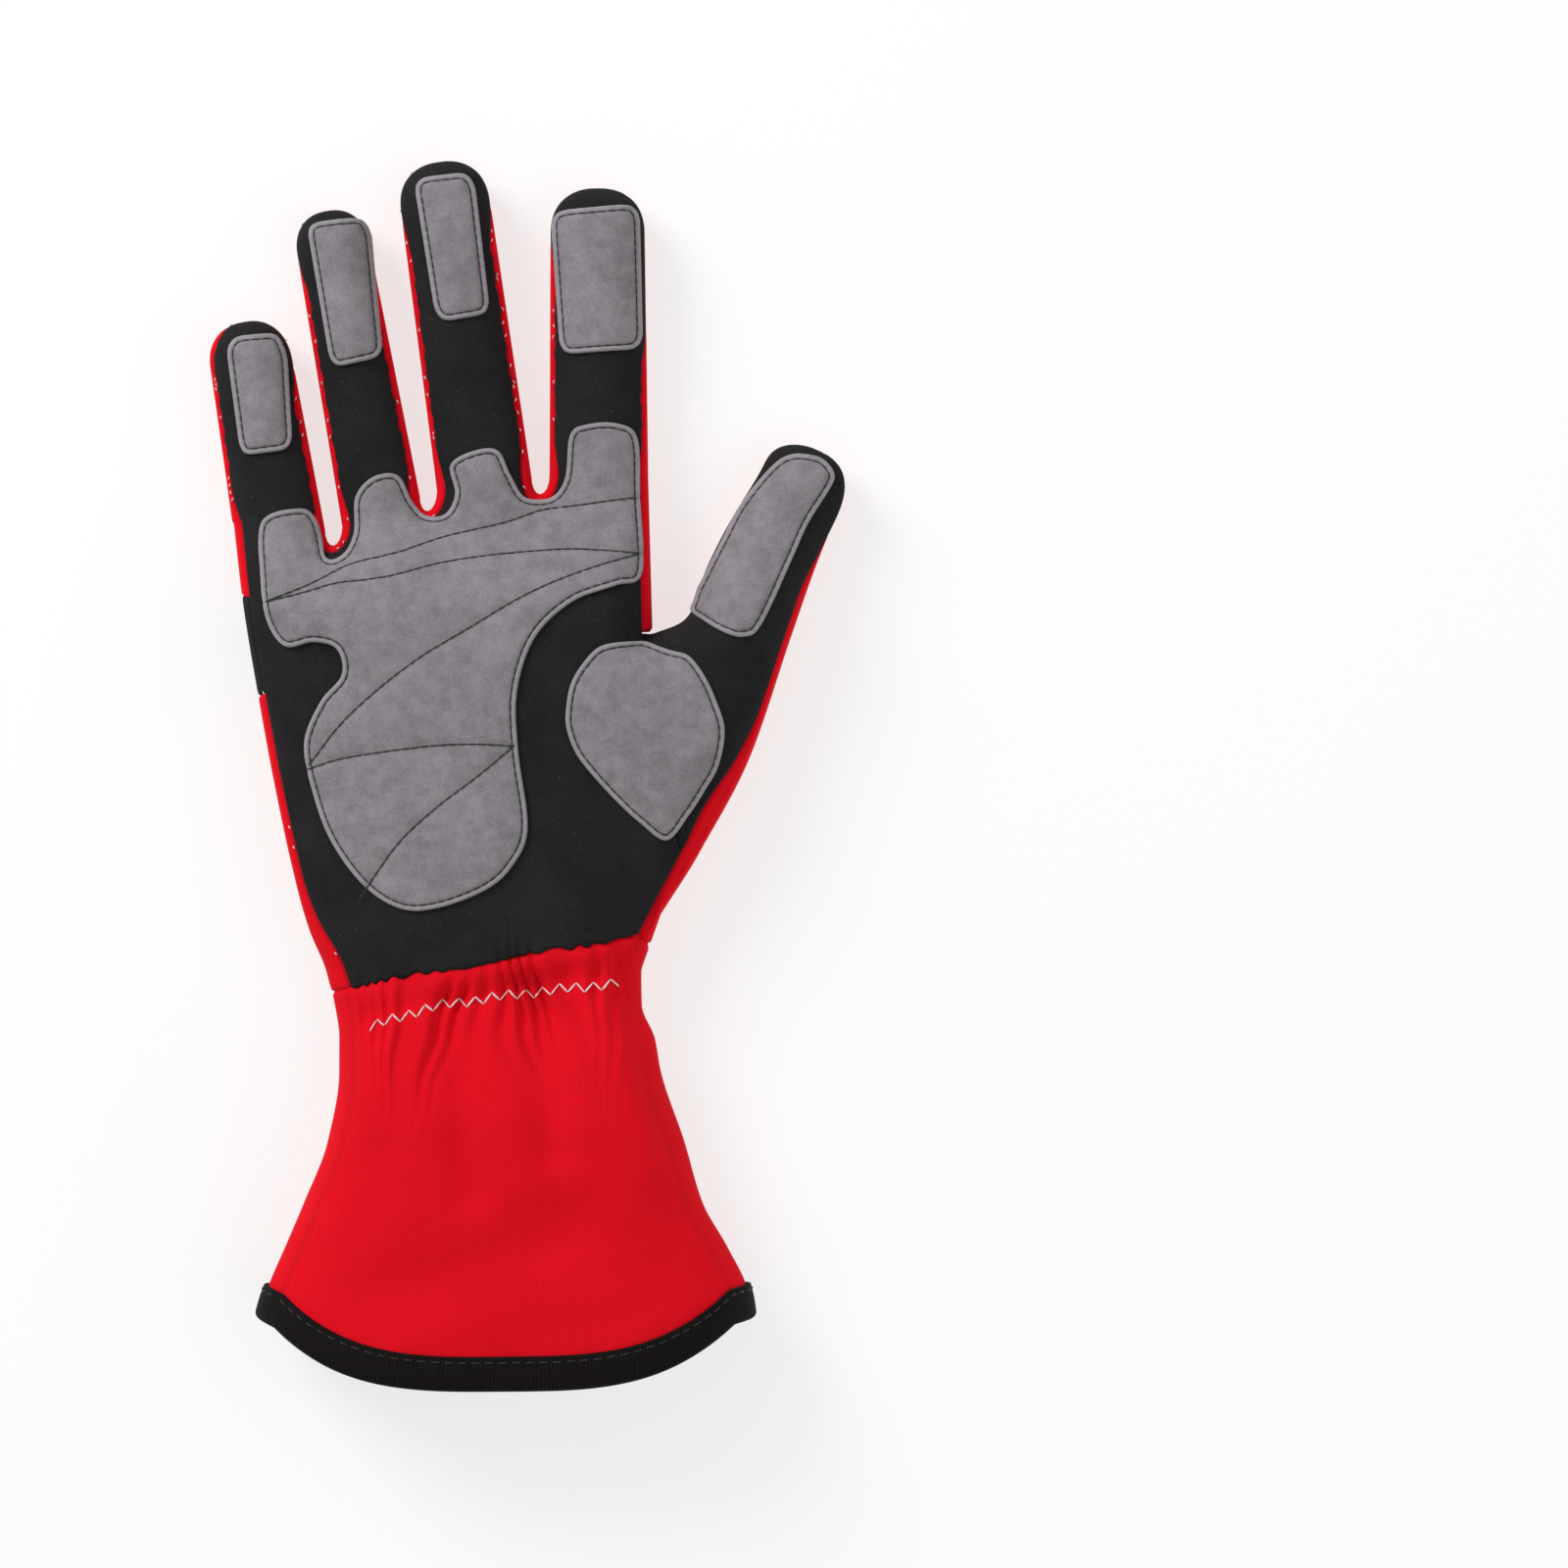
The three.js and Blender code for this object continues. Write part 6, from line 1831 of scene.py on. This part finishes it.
specks = seam_specks([
    (digit_run(PINKY, -1), 0.1), (digit_run(PINKY, 1), 0.06), (digit_run(RING, -1), 0.1),
    (digit_run(RING, 1), 0.08), (digit_run(MIDDLE, -1), 0.1), (digit_run(MIDDLE, 1), 0.2),
    (digit_run(INDEX, -1), 0.06), (left_run, 0.05), (notch_run(0), 0.3), (notch_run(1), 0.4),
    (notch_run(2), 0.4),
], 17)
white.append(stitches(specks, 9, 0.9, 0.3, 0.1, 0.0, sides=5))
thread_piece("white_stitches", white, WHITE_THREAD, "red_knit")
tape_places = stitch_places(np.concatenate([tape_line, tape_up], 1), BINDING_PITCH, 2.3)
tape_dashes = stitch_tubes(tape_places[..., :3], tape_places[..., 3:], 0.4, 0.25)
thread_piece("dark_stitches", [sewn, tape_dashes], BLACK_THREAD, "black_cloth")

# Floor, light and camera

FLOOR_REACH, FLOOR_Z = 3.0, -0.0006
floor_mesh = bpy.data.meshes.new("floor")
floor_corners = [(x * FLOOR_REACH, y * FLOOR_REACH, FLOOR_Z) for x, y in ((-1, -1), (1, -1), (1, 1), (-1, 1))]
floor_mesh.from_pydata(floor_corners, [], [(0, 1, 2, 3)])
floor = bpy.data.objects.new("floor", floor_mesh)
bpy.context.scene.collection.objects.link(floor)
pale = Finish("pale_floor", roughness=1.0, specular=0.0)
pale.shader.inputs["Base Color"].default_value = (0.3, 0.3, 0.3, 1)
pale.shader.inputs["Emission Color"].default_value = (1, 1, 1, 1)
pale.shader.inputs["Emission Strength"].default_value = 0.7
floor_mesh.materials.append(pale.material)

world = bpy.data.worlds.new("studio")
world.use_nodes = True
world.node_tree.nodes["Background"].inputs["Color"].default_value = (1, 1, 1, 1)
world.node_tree.nodes["Background"].inputs["Strength"].default_value = 0.45
bpy.context.scene.world = world
bpy.context.scene.view_settings.view_transform = "Standard"


def soft_light(name, place, size, power):
    """A square light that faces the glove's middle."""
    data = bpy.data.lights.new(name, "AREA")
    data.size, data.energy = size, power
    lamp = bpy.data.objects.new(name, data)
    lamp.location = place
    lamp.rotation_euler = (-Vector(place)).to_track_quat("-Z", "Y").to_euler()
    bpy.context.scene.collection.objects.link(lamp)


soft_light("upper_left", (-0.9, 0.9, 0.9), 0.7, 17)
soft_light("right", (1.0, -0.3, 1.0), 1.2, 5)

LENS, SENSOR = 150.0, 36.0
FRAME_WIDTH = 0.4
FRAME_MIDDLE = (65.75, -3.25)
FOCUS_Z = 0.015
camera_data = bpy.data.cameras.new("camera")
camera_data.lens, camera_data.sensor_width = LENS, SENSOR
camera_data.clip_end = 20.0
camera = bpy.data.objects.new("camera", camera_data)
bpy.context.scene.collection.objects.link(camera)
bpy.context.scene.camera = camera
camera.location = (
    (FRAME_MIDDLE[0] - ORIGIN[0]) * FRAME_UNIT, (FRAME_MIDDLE[1] - ORIGIN[1]) * FRAME_UNIT,
    FOCUS_Z + FRAME_WIDTH * LENS / SENSOR,
)
